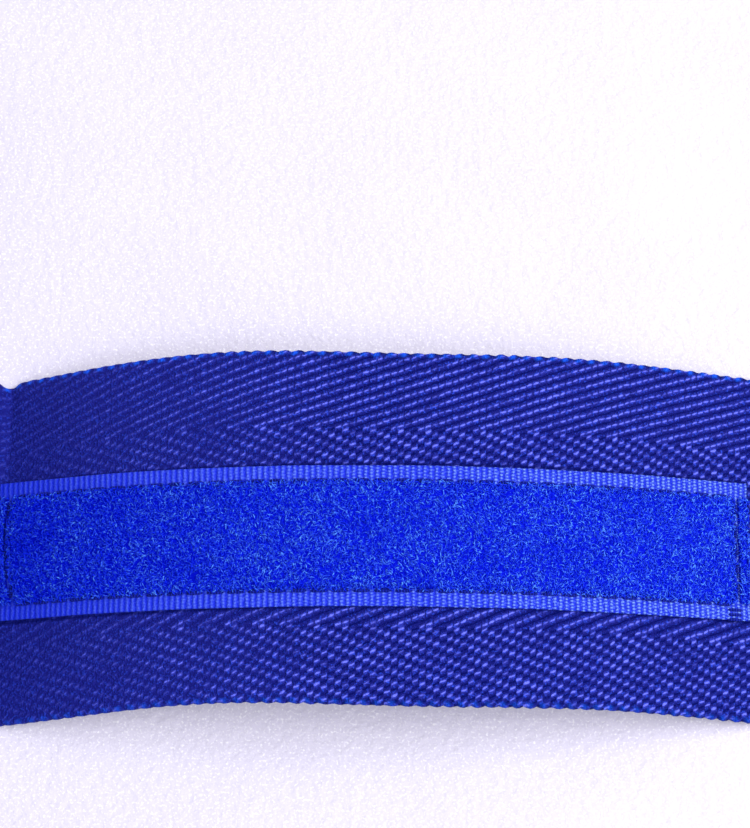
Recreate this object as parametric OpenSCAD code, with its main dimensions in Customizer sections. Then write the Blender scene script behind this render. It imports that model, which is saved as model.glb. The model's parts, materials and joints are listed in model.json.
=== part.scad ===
// Boxing hand wrap: a long herringbone band, rolled up, with its closing end laid out flat.
// The roll stands on its side at the origin. The band runs over its top and down its right side,
// meets the surface at a crease, humps up under the stitched loop strip, and ends in a folded
// point that carries the hook tab. The thumb loop comes out of the eye of the roll.
// +X runs along the band towards the hook tab, Y across the band, +Z up.

/* [Band] */
// Width of the woven band
band_w = 50; // [45:1:55]
// Thickness of the woven band
band_t = 0.9; // [0.8:0.05:1]

/* [Roll] */
// Radius of the open eye of the roll
eye_r = 9.5; // [9:0.5:12]
// Half turns of band in the roll, an even number
half_turns = 38; // [30:2:44]
// Slack between one turn and the next
turn_gap = 0.1; // [0.05:0.05:0.2]
// How far the roll's own weight flattens its foot
foot_sink = 0.4; // [0.2:0.1:0.5]

/* [Lead from the roll to the crease] */
// Bend radius of the band where it comes down from the roll
lead_bend_r = 22; // [18:1:24]
// Slope of the band on both sides of the crease, in degrees
crease_slope = 24; // [22:0.5:26]

/* [Strip span] */
// Length of the straight rise beside the crease
rise_len = 10; // [10:0.5:14]
// Radius of the arch under the loop strip
arch_r = 112; // [112:1:120]
// Slope of the arch towards the hook tab, in degrees
run_out_slope = 21.5; // [20:0.5:22]
// Bend radius where the arch runs out onto the surface
run_out_r = 30; // [25:1:34]

/* [Loop strip] */
// Length of the loop strip
strip_len = 110; // [90:1:112]
// Width of the loop strip
strip_w = 20; // [16:1:25]
// Thickness of the strip's woven ground
ground_t = 0.45; // [0.3:0.05:0.6]
// Height of the loops above the ground
pile_h = 1.1; // [0.8:0.1:1.5]
// Width of the bare woven edge on each side of the strip
selvedge_w = 2.35; // [1.5:0.05:3]
// Distance of the end stitching from the strip's cut ends
end_inset = 2; // [1.5:0.1:4]
// Gap between the crease and the strip
strip_gap = 1; // [1:0.1:3]

/* [Folded end and hook tab] */
// Length of the flat band end, to its point
end_len = 35; // [32:1:45]
// Length of each corner that is folded over to make the point
corner_fold = 18; // [14:1:18]
// Length of hook tape that is sewn onto the band
hook_sewn_len = 25; // [20:1:28]
// Length of the flat part of the free hook tab
tab_flat_len = 20; // [15:1:30]
// Length of the curled part of the free hook tab
tab_curl_len = 39.5; // [30:0.5:50]
// Upward curl of the hook tab, in degrees
tab_curl = 25; // [10:1:35]
// Thickness of the hook tape's woven ground
hook_tape_t = 0.55; // [0.4:0.05:0.7]
// Height of one hook
hook_h = 1.2; // [0.8:0.1:1.4]
// Spacing of the hooks
hook_pitch = 2; // [1.8:0.1:3]

/* [Thumb loop] */
// Width of the thumb tape
thumb_w = 15; // [12:1:16]
// Thickness of the thumb tape
thumb_t = 0.76; // [0.6:0.02:0.8]
// Length of thumb tape sewn inside the eye
thumb_sewn_len = 20; // [15:1:22]
// Bend radius of the loop's upper leg
thumb_top_r = 42; // [38:1:44]
// Radius of the two bends of the loop's lower leg
thumb_low_r = 18.5; // [17:0.5:19]

/* [Stitching] */
// Radius of the sewing thread
thread_r = 0.2; // [0.15:0.01:0.25]
// Length of one visible stitch
stitch_len = 1.9; // [1.2:0.1:2.2]
// Distance from one stitch to the next
stitch_pitch = 2.6; // [2.4:0.1:3.5]

/* [Hidden] */
$fn = 72;

// Colours
navy = "#262c8c";
royal = "#1a3fe0";
royal_edge = "#3a63f0";
thread_navy = "#161c5c";

// Roll: half rings about two centres, half a pitch apart, make one even spiral
half_pitch = (band_t + turn_gap) / 2;
function turn_r(k) = eye_r + band_t / 2 + k * half_pitch;
last_turn = half_turns - 1;
foot_r = turn_r(last_turn - 1) + band_t / 2;
axis_z = foot_r - foot_sink;
upper_x = half_pitch;
layer_gap = 0.02;

// A pose is [x, z, heading]; a route is a list of [length, turn in degrees]
function rad(a) = a * PI / 180;
function bend(r, turn) = [r * rad(abs(turn)), turn];
function step(p, s) =
    s[1] == 0
    ? [p[0] + s[0] * cos(p[2]), p[1] + s[0] * sin(p[2]), p[2]]
    : let (r = s[0] / rad(s[1]), h = p[2] + s[1])
      [p[0] + r * (sin(h) - sin(p[2])), p[1] + r * (cos(p[2]) - cos(h)), h];
function walk(p, route, n) = n == 0 ? p : step(walk(p, route, n - 1), route[n - 1]);
function part_of(s, len) = [len, s[1] * len / s[0]];
function pose_at(p, route, len, i = 0) =
    i == len(route) - 1 || len <= route[i][0]
    ? step(p, part_of(route[i], len))
    : pose_at(step(p, route[i]), route, len - route[i][0], i + 1);
function off(p, d) = [p[0] - d * sin(p[2]), p[1] + d * cos(p[2]), p[2]];
bend_step = 1.5;
function trace(p, route) = concat(
    [for (i = [0 : len(route) - 1])
        let (n = max(1, ceil(abs(route[i][1]) / bend_step)), from = walk(p, route, i))
        for (k = [0 : n - 1]) step(from, part_of(route[i], route[i][0] * k / n))],
    [walk(p, route, len(route))]);

// Lead: straight down from the roll's right side, then a bend that meets the surface
crease = band_t * cos(crease_slope);
roll_side = [upper_x + turn_r(last_turn), axis_z, -90];
lead_drop = axis_z - crease / 2 - lead_bend_r * cos(crease_slope);
lead_route = [[lead_drop, 0], bend(lead_bend_r, 90 - crease_slope)];
lead_end = walk(roll_side, lead_route, 2);
crease_x = off(lead_end, band_t / 2)[0];

// Strip span: up from the crease, over the arch, and down to the surface again
span_start = [crease_x + band_t / 2 * sin(crease_slope), crease / 2, crease_slope];
crest_z = span_start[1] + rise_len * sin(crease_slope) + arch_r * (1 - cos(crease_slope));
fall_h = crest_z - band_t / 2 - (arch_r + run_out_r) * (1 - cos(run_out_slope));
span_route = [[rise_len, 0],
              bend(arch_r, -crease_slope - run_out_slope),
              [fall_h / sin(run_out_slope), 0],
              bend(run_out_r, run_out_slope)];
span_end = walk(span_start, span_route, 4);

// Loop strip, measured along the span from the crease
strip_face = band_t / 2;
pile_face = strip_face + ground_t;
strip_from = strip_gap;
strip_to = strip_gap + strip_len;
stitch_y = strip_w / 2 - selvedge_w + thread_r;
pile_y = stitch_y - 2 * thread_r;
run_from = strip_from + end_inset;
run_to = strip_to - end_inset;
end_pile_gap = 2 * thread_r;

// Folded end
end_x = span_end[0];
point_x = end_x + end_len;
shoulder_x = point_x - corner_fold;
flap_z = band_t + layer_gap;
hook_tape_z = flap_z + band_t + layer_gap;

// Hook tab
tab_start = [point_x + 0.5, hook_tape_z + hook_tape_t / 2, 0];
tab_route = [[tab_flat_len, 0], [tab_curl_len, tab_curl]];
tab_len = tab_flat_len + tab_curl_len;
tab_end = walk(tab_start, tab_route, 2);
tab_corner_r = 4;

// Thumb tape: two legs lie in the bottom of the eye, one on the other
leg_pitch = thumb_t + layer_gap;
low_leg_r = eye_r - layer_gap - thumb_t / 2;
top_leg_r = low_leg_r - leg_pitch;
front_y = -band_w / 2;
thumb_gap = 0.2;
thumb_rise = 15;
thumb_dive = 40;
thumb_rise_r = 30;
thumb_floor_z = thumb_t / 2;
thumb_start = [0, axis_z - top_leg_r, 0];
thumb_back_z = axis_z - low_leg_r;
thumb_lift = acos(1 - (thumb_back_z - thumb_floor_z) / (2 * thumb_low_r));
thumb_over = walk(thumb_start, [bend(thumb_rise_r, thumb_rise),
                                bend(thumb_top_r, -thumb_rise - thumb_dive)], 2);
thumb_tip_r = (thumb_over[1] - thumb_floor_z) / (1 + cos(thumb_dive));
thumb_rest_len = thumb_over[0] - thumb_tip_r * sin(thumb_dive) - 2 * thumb_low_r * sin(thumb_lift);
thumb_route = [bend(thumb_rise_r, thumb_rise),
               bend(thumb_top_r, -thumb_rise - thumb_dive),
               bend(thumb_tip_r, thumb_dive - 180),
               [thumb_rest_len, 0],
               bend(thumb_low_r, -thumb_lift),
               bend(thumb_low_r, thumb_lift)];

// A sector of a ring about an axis along Y
module ring_sector(r_in, r_out, y_from, y_to, angle_from, sweep) {
    rotate([90, 0, 0])
        rotate([0, 0, angle_from])
            rotate_extrude(angle = sweep)
                translate([r_in, -y_to])
                    square([r_out - r_in, y_to - y_from]);
}

// A ribbon along a route, between two offsets from it
module ribbon(p, route, y_from, y_to, low, high) {
    poses = trace(p, route);
    lower = [for (q = poses) off(q, low)];
    upper = [for (i = [len(poses) - 1 : -1 : 0]) off(poses[i], high)];
    rotate([90, 0, 0])
        translate([0, 0, -y_to])
            linear_extrude(y_to - y_from)
                polygon([for (q = concat(lower, upper)) [q[0], q[1]]]);
}

// The part of a route between two lengths along it
function sum_to(route, n) = n == 0 ? 0 : route[n - 1][0] + sum_to(route, n - 1);
function between(route, from, to) =
    [for (i = [0 : len(route) - 1])
        let (a = max(from, sum_to(route, i)), b = min(to, sum_to(route, i + 1)))
        if (b > a) part_of(route[i], b - a)];

// A length of ribbon laid on the strip span
module on_span(from, to, y_from, y_to, low, high) {
    ribbon(pose_at(span_start, span_route, from), between(span_route, from, to),
           y_from, y_to, low, high);
}

// One stitch along the route or across it
module stitch(p, y, across = false) {
    translate([p[0], y, p[1]])
        rotate([0, -p[2], 0])
            rotate(across ? [90, 0, 0] : [0, 90, 0])
                cylinder(h = stitch_len, r = thread_r, center = true);
}

// Places of the stitches in a run of a given length
function stitch_places(len) =
    let (n = floor((len - stitch_len) / stitch_pitch), first = (len - n * stitch_pitch) / 2)
    [for (i = [0 : n]) first + i * stitch_pitch];

// A run of stitches along the span, at an offset from its route
module span_run(y, height) {
    for (s = stitch_places(run_to - run_from))
        stitch(off(pose_at(span_start, span_route, run_from + s), height), y);
}

// A run of stitches across the span
module span_cross_run(along, height) {
    for (s = stitch_places(2 * stitch_y - 2 * stitch_len))
        stitch(off(pose_at(span_start, span_route, along), height),
               s - stitch_y + stitch_len, across = true);
}

// The roll: a spiral of half rings, flattened where it stands
module band_roll() {
    color(navy)
        difference() {
            for (k = [0 : last_turn]) {
                upper = k % 2 == 1;
                translate([upper ? upper_x : 0, 0, axis_z])
                    ring_sector(turn_r(k) - band_t / 2, turn_r(k) + band_t / 2,
                                -band_w / 2, band_w / 2, upper ? 0 : 180, 180);
            }
            translate([-foot_r, -band_w, -foot_r])
                cube([2 * foot_r, 2 * band_w, foot_r]);
        }
}

// The stretch of band from the roll to the crease
module band_lead() {
    color(navy)
        ribbon(roll_side, lead_route, -band_w / 2, band_w / 2, -band_t / 2, band_t / 2);
}

// The band's inner end, turned over once inside the eye
hem_sweep = 38;
hem_out_r = eye_r - layer_gap;
module inner_end_hem() {
    color(navy)
        translate([0, 0, axis_z])
            ring_sector(hem_out_r - band_t, hem_out_r, -band_w / 2, band_w / 2, -hem_sweep, hem_sweep);
}

// The row of stitches that holds the hem
module inner_hem_stitches() {
    r = hem_out_r - band_t - thread_r - layer_gap;
    color(thread_navy)
        for (s = stitch_places(band_w - 4))
            translate([r * cos(-hem_sweep / 2), s - band_w / 2 + 2, axis_z + r * sin(-hem_sweep / 2)])
                rotate([90, 0, 0])
                    cylinder(h = stitch_len, r = thread_r, center = true);
}

// Both ends of the thumb tape, in the bottom of the eye
module thumb_tape_ends() {
    sweep = thumb_w / low_leg_r / PI * 180;
    color(navy)
        translate([0, 0, axis_z])
            for (r = [low_leg_r, top_leg_r])
                ring_sector(r - thumb_t / 2, r + thumb_t / 2, front_y, front_y + thumb_sewn_len,
                            -90 - sweep / 2, sweep);
}

// The rows of stitches that hold the thumb tape
module thumb_tape_stitches() {
    r = top_leg_r - thumb_t / 2 - thread_r - layer_gap;
    color(thread_navy)
        for (a = [-126 : 18 : -54], s = stitch_places(thumb_sewn_len - 4))
            translate([r * cos(a), front_y + 3 + s, axis_z + r * sin(a)])
                rotate([90, 0, 0])
                    cylinder(h = stitch_len, r = thread_r, center = true);
}

// The free loop for the thumb
module thumb_loop() {
    color(navy)
        translate([0, front_y - thumb_gap, 0])
            rotate([0, 0, -90])
                ribbon(thumb_start, thumb_route, -thumb_w / 2, thumb_w / 2, -thumb_t / 2, thumb_t / 2);
}

// The stretch of band under the loop strip
module band_strip_span() {
    color(navy)
        ribbon(span_start, span_route, -band_w / 2, band_w / 2, -band_t / 2, band_t / 2);
}

// The woven ground of the loop strip
module loop_tape() {
    color(royal_edge)
        on_span(strip_from, strip_to, -strip_w / 2, strip_w / 2, strip_face + layer_gap, pile_face);
}

// The loops: the long field inside the stitching, and the short ends outside it
module loop_pile() {
    fields = [[strip_from, run_from - end_pile_gap],
              [run_from + end_pile_gap, run_to - end_pile_gap],
              [run_to + end_pile_gap, strip_to]];
    color(royal)
        for (f = fields)
            on_span(f[0], f[1], -pile_y, pile_y, pile_face + layer_gap, pile_face + pile_h);
}

// The needle thread round the loop strip, with its back-tack over the front edge
back_tack = 3;
module loop_tape_stitches() {
    height = pile_face + thread_r + 2 * layer_gap;
    color(thread_navy) {
        for (y = [-stitch_y, stitch_y])
            span_run(y, height);
        for (along = [run_from, run_to])
            span_cross_run(along, height);
        for (i = [1 : back_tack])
            stitch(off(pose_at(span_start, span_route, run_to - 0.5), height),
                   -stitch_y - i * 0.65 + 0.2);
    }
}

// The bobbin thread under the band
module loop_tape_bobbin_thread() {
    height = -band_t / 2 - thread_r - 2 * layer_gap;
    color(thread_navy) {
        for (y = [-stitch_y, stitch_y])
            span_run(y, height);
        for (along = [run_from, run_to])
            span_cross_run(along, height);
    }
}

// The flat end of the band, cut away where its corners are folded over
module band_end() {
    tip = band_w / 2 - corner_fold;
    color(navy)
        linear_extrude(band_t)
            polygon([[end_x, -band_w / 2], [shoulder_x, -band_w / 2], [point_x, -tip],
                     [point_x, tip], [shoulder_x, band_w / 2], [end_x, band_w / 2]]);
}

// One corner, folded onto the top of the band
module corner_fold_flap(side) {
    tip = band_w / 2 - corner_fold;
    color(navy)
        translate([0, 0, flap_z])
            linear_extrude(band_t)
                polygon([[shoulder_x, side * band_w / 2], [point_x, side * tip],
                         [shoulder_x, side * tip]]);
}

module corner_fold_front() {
    corner_fold_flap(-1);
}

module corner_fold_back() {
    corner_fold_flap(1);
}

// The stitches along both folded edges, clear of the hook tape
module corner_fold_stitches() {
    inset = 1.6;
    height = flap_z + band_t + thread_r + layer_gap;
    run = (band_w / 2 - strip_w / 2) * sqrt(2) - 2 * inset;
    color(thread_navy)
        for (side = [-1, 1], s = stitch_places(run))
            translate([shoulder_x, side * band_w / 2, height])
                rotate([0, 0, -side * 45])
                    translate([inset + s, -side * inset, 0])
                        rotate([0, 90, 0])
                            cylinder(h = stitch_len, r = thread_r, center = true);
}

// The hook tape's sewn part
module hook_tape_sewn() {
    color(royal_edge)
        translate([point_x - hook_sewn_len, -strip_w / 2, hook_tape_z])
            cube([hook_sewn_len, strip_w, hook_tape_t]);
}

// The stitched box with its cross, on the hook tape
module hook_tape_stitches() {
    inset = 1.8;
    height = hook_tape_z + hook_tape_t + thread_r + layer_gap;
    box_l = hook_sewn_len - 2 * inset;
    box_w = strip_w - 2 * inset;
    middle = [point_x - hook_sewn_len / 2, 0, height];
    diagonal = norm([box_l, box_w]);
    slant = atan(box_w / box_l);
    color(thread_navy)
        translate(middle) {
            for (y = [-box_w / 2, box_w / 2], s = stitch_places(box_l))
                translate([s - box_l / 2, y, 0])
                    rotate([0, 90, 0])
                        cylinder(h = stitch_len, r = thread_r, center = true);
            for (x = [-box_l / 2, box_l / 2], s = stitch_places(box_w - 2 * thread_r))
                translate([x, s - box_w / 2 + thread_r, 0])
                    rotate([90, 0, 0])
                        cylinder(h = stitch_len, r = thread_r, center = true);
            for (s = stitch_places(diagonal - 4))
                rotate([0, 0, slant])
                    translate([s + 2 - diagonal / 2, 0, 0])
                        rotate([0, 90, 0])
                            cylinder(h = stitch_len, r = thread_r, center = true);
            for (side = [-1, 1], s = stitch_places(diagonal / 2 - 4))
                rotate([0, 0, -slant])
                    translate([side * (s + 2), 0, 0])
                        rotate([0, 90, 0])
                            cylinder(h = stitch_len, r = thread_r, center = true);
        }
}

// The free hook tab, curled up a little, with rounded corners
module hook_tab() {
    color(royal_edge)
        intersection() {
            ribbon(tab_start, tab_route, -strip_w / 2, strip_w / 2, -hook_tape_t / 2, hook_tape_t / 2);
            union() {
                translate([tab_start[0] - 1, -strip_w / 2, 0])
                    cube([tab_end[0] - tab_start[0] - tab_corner_r + 1, strip_w, 2 * tab_end[1]]);
                for (side = [-1, 1])
                    translate([tab_end[0] - tab_corner_r, side * (strip_w / 2 - tab_corner_r), 0])
                        cylinder(h = 2 * tab_end[1], r = tab_corner_r);
                translate([tab_end[0] - tab_corner_r, -strip_w / 2 + tab_corner_r, 0])
                    cube([2 * tab_corner_r, strip_w - 2 * tab_corner_r, 2 * tab_end[1]]);
            }
        }
}

// The hooks: staggered rows of tapered stems on the tab's underside
module hook_field() {
    rows = floor((tab_len - 5) / hook_pitch);
    columns = floor((strip_w - 2 * selvedge_w) / hook_pitch);
    color(royal)
        for (i = [0 : rows], j = [0 : columns - i % 2]) {
            p = off(pose_at(tab_start, tab_route, 2 + i * hook_pitch), -hook_tape_t / 2 - layer_gap);
            y = (j - columns / 2 + (i % 2) / 2) * hook_pitch;
            translate([p[0], y, p[1]])
                rotate([0, -p[2], 0])
                    translate([0, 0, -hook_h])
                        cylinder(h = hook_h, r1 = 0.16, r2 = 0.28, $fn = 16);
        }
}

band_roll();
band_lead();
inner_end_hem();
inner_hem_stitches();
thumb_tape_ends();
thumb_tape_stitches();
thumb_loop();
band_strip_span();
loop_tape();
loop_pile();
loop_tape_stitches();
loop_tape_bobbin_thread();
band_end();
corner_fold_front();
corner_fold_back();
corner_fold_stitches();
hook_tape_sewn();
hook_tape_stitches();
hook_tab();
hook_field();
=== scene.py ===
"""The looks of a boxing hand wrap: a rolled herringbone band whose closing end is laid out.

Every piece is a surface worked out with numpy along the band's route, in metres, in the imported
model's frame: +X runs along the band to the hook tab, Y across the band, +Z up.
"""
import json
import math

import bpy
import numpy as np
from bpy.props import FloatProperty, FloatVectorProperty, IntProperty, PointerProperty
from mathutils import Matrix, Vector


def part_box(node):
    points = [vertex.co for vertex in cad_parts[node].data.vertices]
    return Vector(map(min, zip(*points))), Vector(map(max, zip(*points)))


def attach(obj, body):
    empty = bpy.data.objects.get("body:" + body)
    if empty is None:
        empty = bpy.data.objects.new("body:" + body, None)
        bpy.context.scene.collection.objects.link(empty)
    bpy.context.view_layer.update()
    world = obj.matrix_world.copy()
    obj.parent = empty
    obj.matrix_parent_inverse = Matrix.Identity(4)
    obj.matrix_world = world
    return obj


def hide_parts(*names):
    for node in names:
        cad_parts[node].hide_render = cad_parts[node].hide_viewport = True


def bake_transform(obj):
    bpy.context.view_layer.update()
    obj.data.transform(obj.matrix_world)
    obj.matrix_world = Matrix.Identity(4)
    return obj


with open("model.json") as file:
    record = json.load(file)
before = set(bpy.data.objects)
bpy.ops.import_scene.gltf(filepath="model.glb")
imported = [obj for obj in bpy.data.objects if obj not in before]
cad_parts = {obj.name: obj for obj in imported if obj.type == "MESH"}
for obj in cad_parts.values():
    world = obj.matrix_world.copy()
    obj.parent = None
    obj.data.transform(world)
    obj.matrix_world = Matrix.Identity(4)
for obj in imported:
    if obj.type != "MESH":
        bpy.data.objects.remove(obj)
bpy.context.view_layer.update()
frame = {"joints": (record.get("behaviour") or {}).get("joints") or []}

bl_info = {
    "name": "Hand wrap",
    "version": (1, 0, 0),
    "blender": (4, 5, 0),
    "location": "3D View > Sidebar > Hand wrap",
    "description": "Builds the cloth, tapes, loops, hooks and stitches of a rolled hand wrap",
    "category": "Add Mesh",
}


# ---------------------------------------------------------------------------------------------
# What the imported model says

JOINT_AT = {joint["name"]: joint["pos_m"] for joint in frame["joints"]}

ROLL_LOW, ROLL_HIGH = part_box("band_roll")
END_LOW, END_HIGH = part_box("band_end")
STRIP_LOW, STRIP_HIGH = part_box("loop_tape")
HOOK_LOW, HOOK_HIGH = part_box("hook_tape_sewn")
TAB_LOW, TAB_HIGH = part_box("hook_tab")
THUMB_LOW, THUMB_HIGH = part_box("thumb_loop")
ENDS_LOW, ENDS_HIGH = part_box("thumb_tape_ends")
FLAP_LOW, FLAP_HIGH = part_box("corner_fold_back")

BAND_W = END_HIGH.y - END_LOW.y
BAND_T = END_HIGH.z - END_LOW.z
HALF_T = BAND_T / 2
STRIP_W = STRIP_HIGH.y - STRIP_LOW.y
CREASE_X = JOINT_AT["tail_lift"][0]
FOLD_X = JOINT_AT["end_fold"][0]
POINT_X = END_HIGH.x
SHOULDER_X = FLAP_LOW.x
HOOK_T = HOOK_HIGH.z - HOOK_LOW.z
THUMB_W = THUMB_HIGH.x - THUMB_LOW.x


# ---------------------------------------------------------------------------------------------
# Sizes and colours that a user would change

def in_metres(name, description, default):
    return FloatProperty(name=name, description=description, default=default, unit="LENGTH")


def in_degrees(name, description, default):
    return FloatProperty(
        name=name, description=description, default=math.radians(default), subtype="ANGLE")


def plain_number(name, description, default):
    return FloatProperty(name=name, description=description, default=default)


def as_colour(name, description, default):
    return FloatVectorProperty(name=name, description=description, default=default, subtype="COLOR")


class HandWrapBand(bpy.types.PropertyGroup):
    """The woven band and how it lies."""
    eye_radius: in_metres("Eye radius", "Radius of the open eye of the roll", 0.0095)
    slack: in_metres("Slack", "Gap between one turn and the next", 0.0001)
    crease_slope: in_degrees("Crease slope", "Slope of the band beside the crease", 24)
    rise: in_metres("Rise", "Length of the straight rise beside the crease", 0.010)
    arch_radius: in_metres("Arch radius", "Radius of the arch under the loop strip", 0.112)
    run_out_slope: in_degrees("Run-out slope", "Slope of the arch towards the hook tab", 21.5)
    run_out_radius: in_metres("Run-out radius", "Bend radius where the arch meets the surface", 0.030)
    column_pitch: in_metres("Column pitch", "Length of one yarn float, along the band", 0.00096)
    row_pitch: in_metres("Row pitch", "Distance from one warp yarn to the next", 0.0004)
    chevron_width: in_metres("Chevron width", "Width of one slope of the herringbone", 0.014)
    ground_colour: as_colour(
        "Ground colour", "Colour of the weave between the floats", (0.0100, 0.0125, 0.200))
    float_colour: as_colour("Float colour", "Colour of the yarn floats", (0.044, 0.060, 0.520))
    # The glint colour is a painted highlight on the crowns of the floats.
    glint_colour: as_colour("Glint colour", "Colour of the crown of a float", (0.150, 0.180, 0.920))
    # The selvedge colour is partly the edge yarns' own blue and partly a painted highlight on the edge
    # bumps.
    selvedge_colour: as_colour(
        "Selvedge colour", "Colour of the band's woven edges", (0.010, 0.095, 0.800))


class HandWrapTapes(bpy.types.PropertyGroup):
    """The loop strip and the hook tape."""
    strip_gap: in_metres("Strip gap", "Distance from the crease to the strip", 0.001)
    strip_length: in_metres("Strip length", "Length of the loop strip", 0.110)
    strip_ground: in_metres("Strip ground", "Thickness of the strip's woven ground", 0.00045)
    end_inset: in_metres("End inset", "Distance of the end stitching from the cut end", 0.002)
    selvedge: in_metres("Selvedge", "Width of the strip's bare woven edge", 0.00235)
    pile_height: in_metres("Pile height", "Height of the loops above the ground", 0.0011)
    pile_loops: IntProperty(
        name="Loops per piece", description="Number of loops in each of the six sixths of the pile",
        default=5000)
    rib_pitch: in_metres("Rib pitch", "Distance between the ribs of the woven edge", 0.00082)
    hook_pitch: in_metres("Hook pitch", "Distance between the hooks", 0.0016)
    hook_height: in_metres("Hook height", "Height of one hook", 0.0012)
    ground_colour: as_colour("Tape colour", "Colour of the woven ground", (0.003, 0.016, 0.560))
    rib_colour: as_colour("Rib colour", "Colour of the raised ribs", (0.190, 0.340, 1.0))
    pile_colour: as_colour("Pile colour", "Colour of the loops", (0.001, 0.010, 0.700))
    # The pile glint colour is a painted highlight on the brightest loops.
    pile_glint_colour: as_colour(
        "Pile glint colour", "Colour of the brightest loops", (0.105, 0.340, 1.0))
    # The pile root colour is the matted root's deep blue, darkened further as painted shade between the
    # loops.
    pile_root_shade_colour: as_colour(
        "Pile root colour", "Colour between the loops", (0.0005, 0.003, 0.420))
    hook_colour: as_colour("Hook colour", "Colour of the hooks", (0.03, 0.10, 0.78))


class HandWrapThread(bpy.types.PropertyGroup):
    """The sewing thread and its stitches."""
    radius: in_metres("Thread radius", "Radius of the sewing thread", 0.00021)
    pitch: in_metres("Stitch pitch", "Distance from one stitch to the next", 0.0029)
    length: in_metres("Stitch length", "Length of one visible stitch", 0.0024)
    colour: as_colour("Thread colour", "Colour of the sewing thread", (0.004, 0.008, 0.150))


class HandWrapThumb(bpy.types.PropertyGroup):
    """The thumb tape's loop."""
    rise_radius: in_metres("Rise radius", "Bend radius where the upper leg leaves the eye", 0.030)
    rise: in_degrees("Rise", "How far the upper leg turns up", 15)
    top_radius: in_metres("Top radius", "Bend radius of the upper leg", 0.042)
    dive: in_degrees("Dive", "Slope of the upper leg before the tip", 40)
    low_radius: in_metres("Low radius", "Bend radius of the lower leg's two bends", 0.0185)
    thickness: in_metres("Thickness", "Thickness of the thumb tape", 0.00076)


class HandWrapStage(bpy.types.PropertyGroup):
    """The camera, the light and the floor."""
    elevation: in_degrees("Elevation", "Height of the camera above the horizon", 76)
    distance: in_metres("Distance", "Distance from the camera to what it looks at", 0.4505)
    lens: plain_number("Lens", "Focal length in millimetres", 140.0)
    look_past: in_metres("Look past", "How far behind the strip the camera looks", 0.01725)
    key_power: plain_number("Key light", "Power of the key light in watts", 3.9)
    fill_power: plain_number("Fill light", "Power of the fill light in watts", 2.4)
    sky: plain_number("Sky", "Strength of the light from all round", 0.58)


SETTINGS = {
    "hand_wrap_band": HandWrapBand,
    "hand_wrap_tapes": HandWrapTapes,
    "hand_wrap_thread": HandWrapThread,
    "hand_wrap_thumb": HandWrapThumb,
    "hand_wrap_stage": HandWrapStage,
}


def band():
    return bpy.context.scene.hand_wrap_band


def tapes():
    return bpy.context.scene.hand_wrap_tapes


def thread():
    return bpy.context.scene.hand_wrap_thread


def thumb():
    return bpy.context.scene.hand_wrap_thumb


def stage():
    return bpy.context.scene.hand_wrap_stage


# ---------------------------------------------------------------------------------------------
# Routes: the line that a band or tape follows, seen from the front

def bend(radius, turn):
    """A round stretch: (its length, its turn in radians)."""
    return (radius * abs(turn), turn)


def make_route(start, stretches):
    """A route from the pose (x, z, heading). Straight and round stretches follow each other without
    a kink; each is (length, turn), and the heading grows by the turn."""
    length = np.array([s[0] for s in stretches])
    curve = np.array([s[1] for s in stretches]) / length
    at = np.concatenate([[0.0], np.cumsum(length)])
    route = {"s": at, "x": [start[0]], "z": [start[1]], "heading": [start[2]], "curve": curve}
    for i in range(len(stretches)):
        so_far = {k: np.array(v) for k, v in route.items()}
        reached = follow(so_far, np.array([at[i + 1]]), np.array([i]))
        for key, value in zip(("x", "z", "heading"), reached):
            route[key].append(float(value[0]))
    return {k: np.array(v) for k, v in route.items()}


def follow(route, s, stretch=None):
    """Place and heading at length s: x and z are the integrals of the cosine and the sine of a
    heading that grows evenly along each stretch."""
    if stretch is None:
        stretch = np.clip(np.searchsorted(route["s"], s, side="right") - 1, 0, len(route["curve"]) - 1)
    ds = s - route["s"][stretch]
    first = route["heading"][stretch]
    curve = route["curve"][stretch]
    heading = first + curve * ds
    straight = np.abs(curve) < 1e-9
    k = np.where(straight, 1.0, curve)
    x = np.where(straight, ds * np.cos(first), (np.sin(heading) - np.sin(first)) / k)
    z = np.where(straight, ds * np.sin(first), (np.cos(first) - np.cos(heading)) / k)
    return route["x"][stretch] + x, route["z"][stretch] + z, heading


def lay(route, s, across, lift):
    """The point at length s, moved across the band along Y, and lifted along the route's normal."""
    s, across, lift = np.broadcast_arrays(s, across, lift)
    x, z, heading = follow(route, s)
    return np.stack([x - lift * np.sin(heading), across, z + lift * np.cos(heading)], axis=-1)


def roll_facts():
    """The roll is a spiral of half rings about two centres, half a pitch apart."""
    half_pitch = (BAND_T + band().slack) / 2
    outer = (ROLL_HIGH.x - ROLL_LOW.x) / 2 - HALF_T
    first = band().eye_radius + HALF_T
    count = round((outer - first) / half_pitch) + 1
    axis_z = ROLL_HIGH.z - outer - HALF_T
    return {"half_pitch": half_pitch, "outer": outer, "first": first, "count": count,
            "axis_z": axis_z, "centre_x": half_pitch}


HEM_ARC = math.radians(38)
HEM_GAP = 0.00002


def roll_route():
    """From the hem's raw edge, round the turned end, and out along the spiral to the roll's foot."""
    roll = roll_facts()
    inside = band().eye_radius - HEM_GAP - HALF_T
    start = (inside * math.cos(HEM_ARC), roll["axis_z"] - inside * math.sin(HEM_ARC),
             math.pi / 2 - HEM_ARC)
    stretches = [bend(inside, HEM_ARC), bend((roll["first"] - inside) / 2, -math.pi)]
    for k in range(roll["count"] - 2):
        stretches.append(bend(roll["first"] + k * roll["half_pitch"], -math.pi))
    stretches.append(bend(roll["outer"] - roll["half_pitch"], -math.pi / 2))
    return make_route(start, stretches)


def crease_facts():
    """The crease is one round bend whose underside just reaches the surface."""
    slope = band().crease_slope
    meet = HALF_T * math.cos(2 * slope) / math.cos(slope)
    radius = (HALF_T - meet) / (1 / math.cos(slope) - 1)
    return {"slope": slope, "radius": radius, "half_chord": radius * math.sin(slope),
            "z": HALF_T + radius * (1 - math.cos(slope))}


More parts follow.
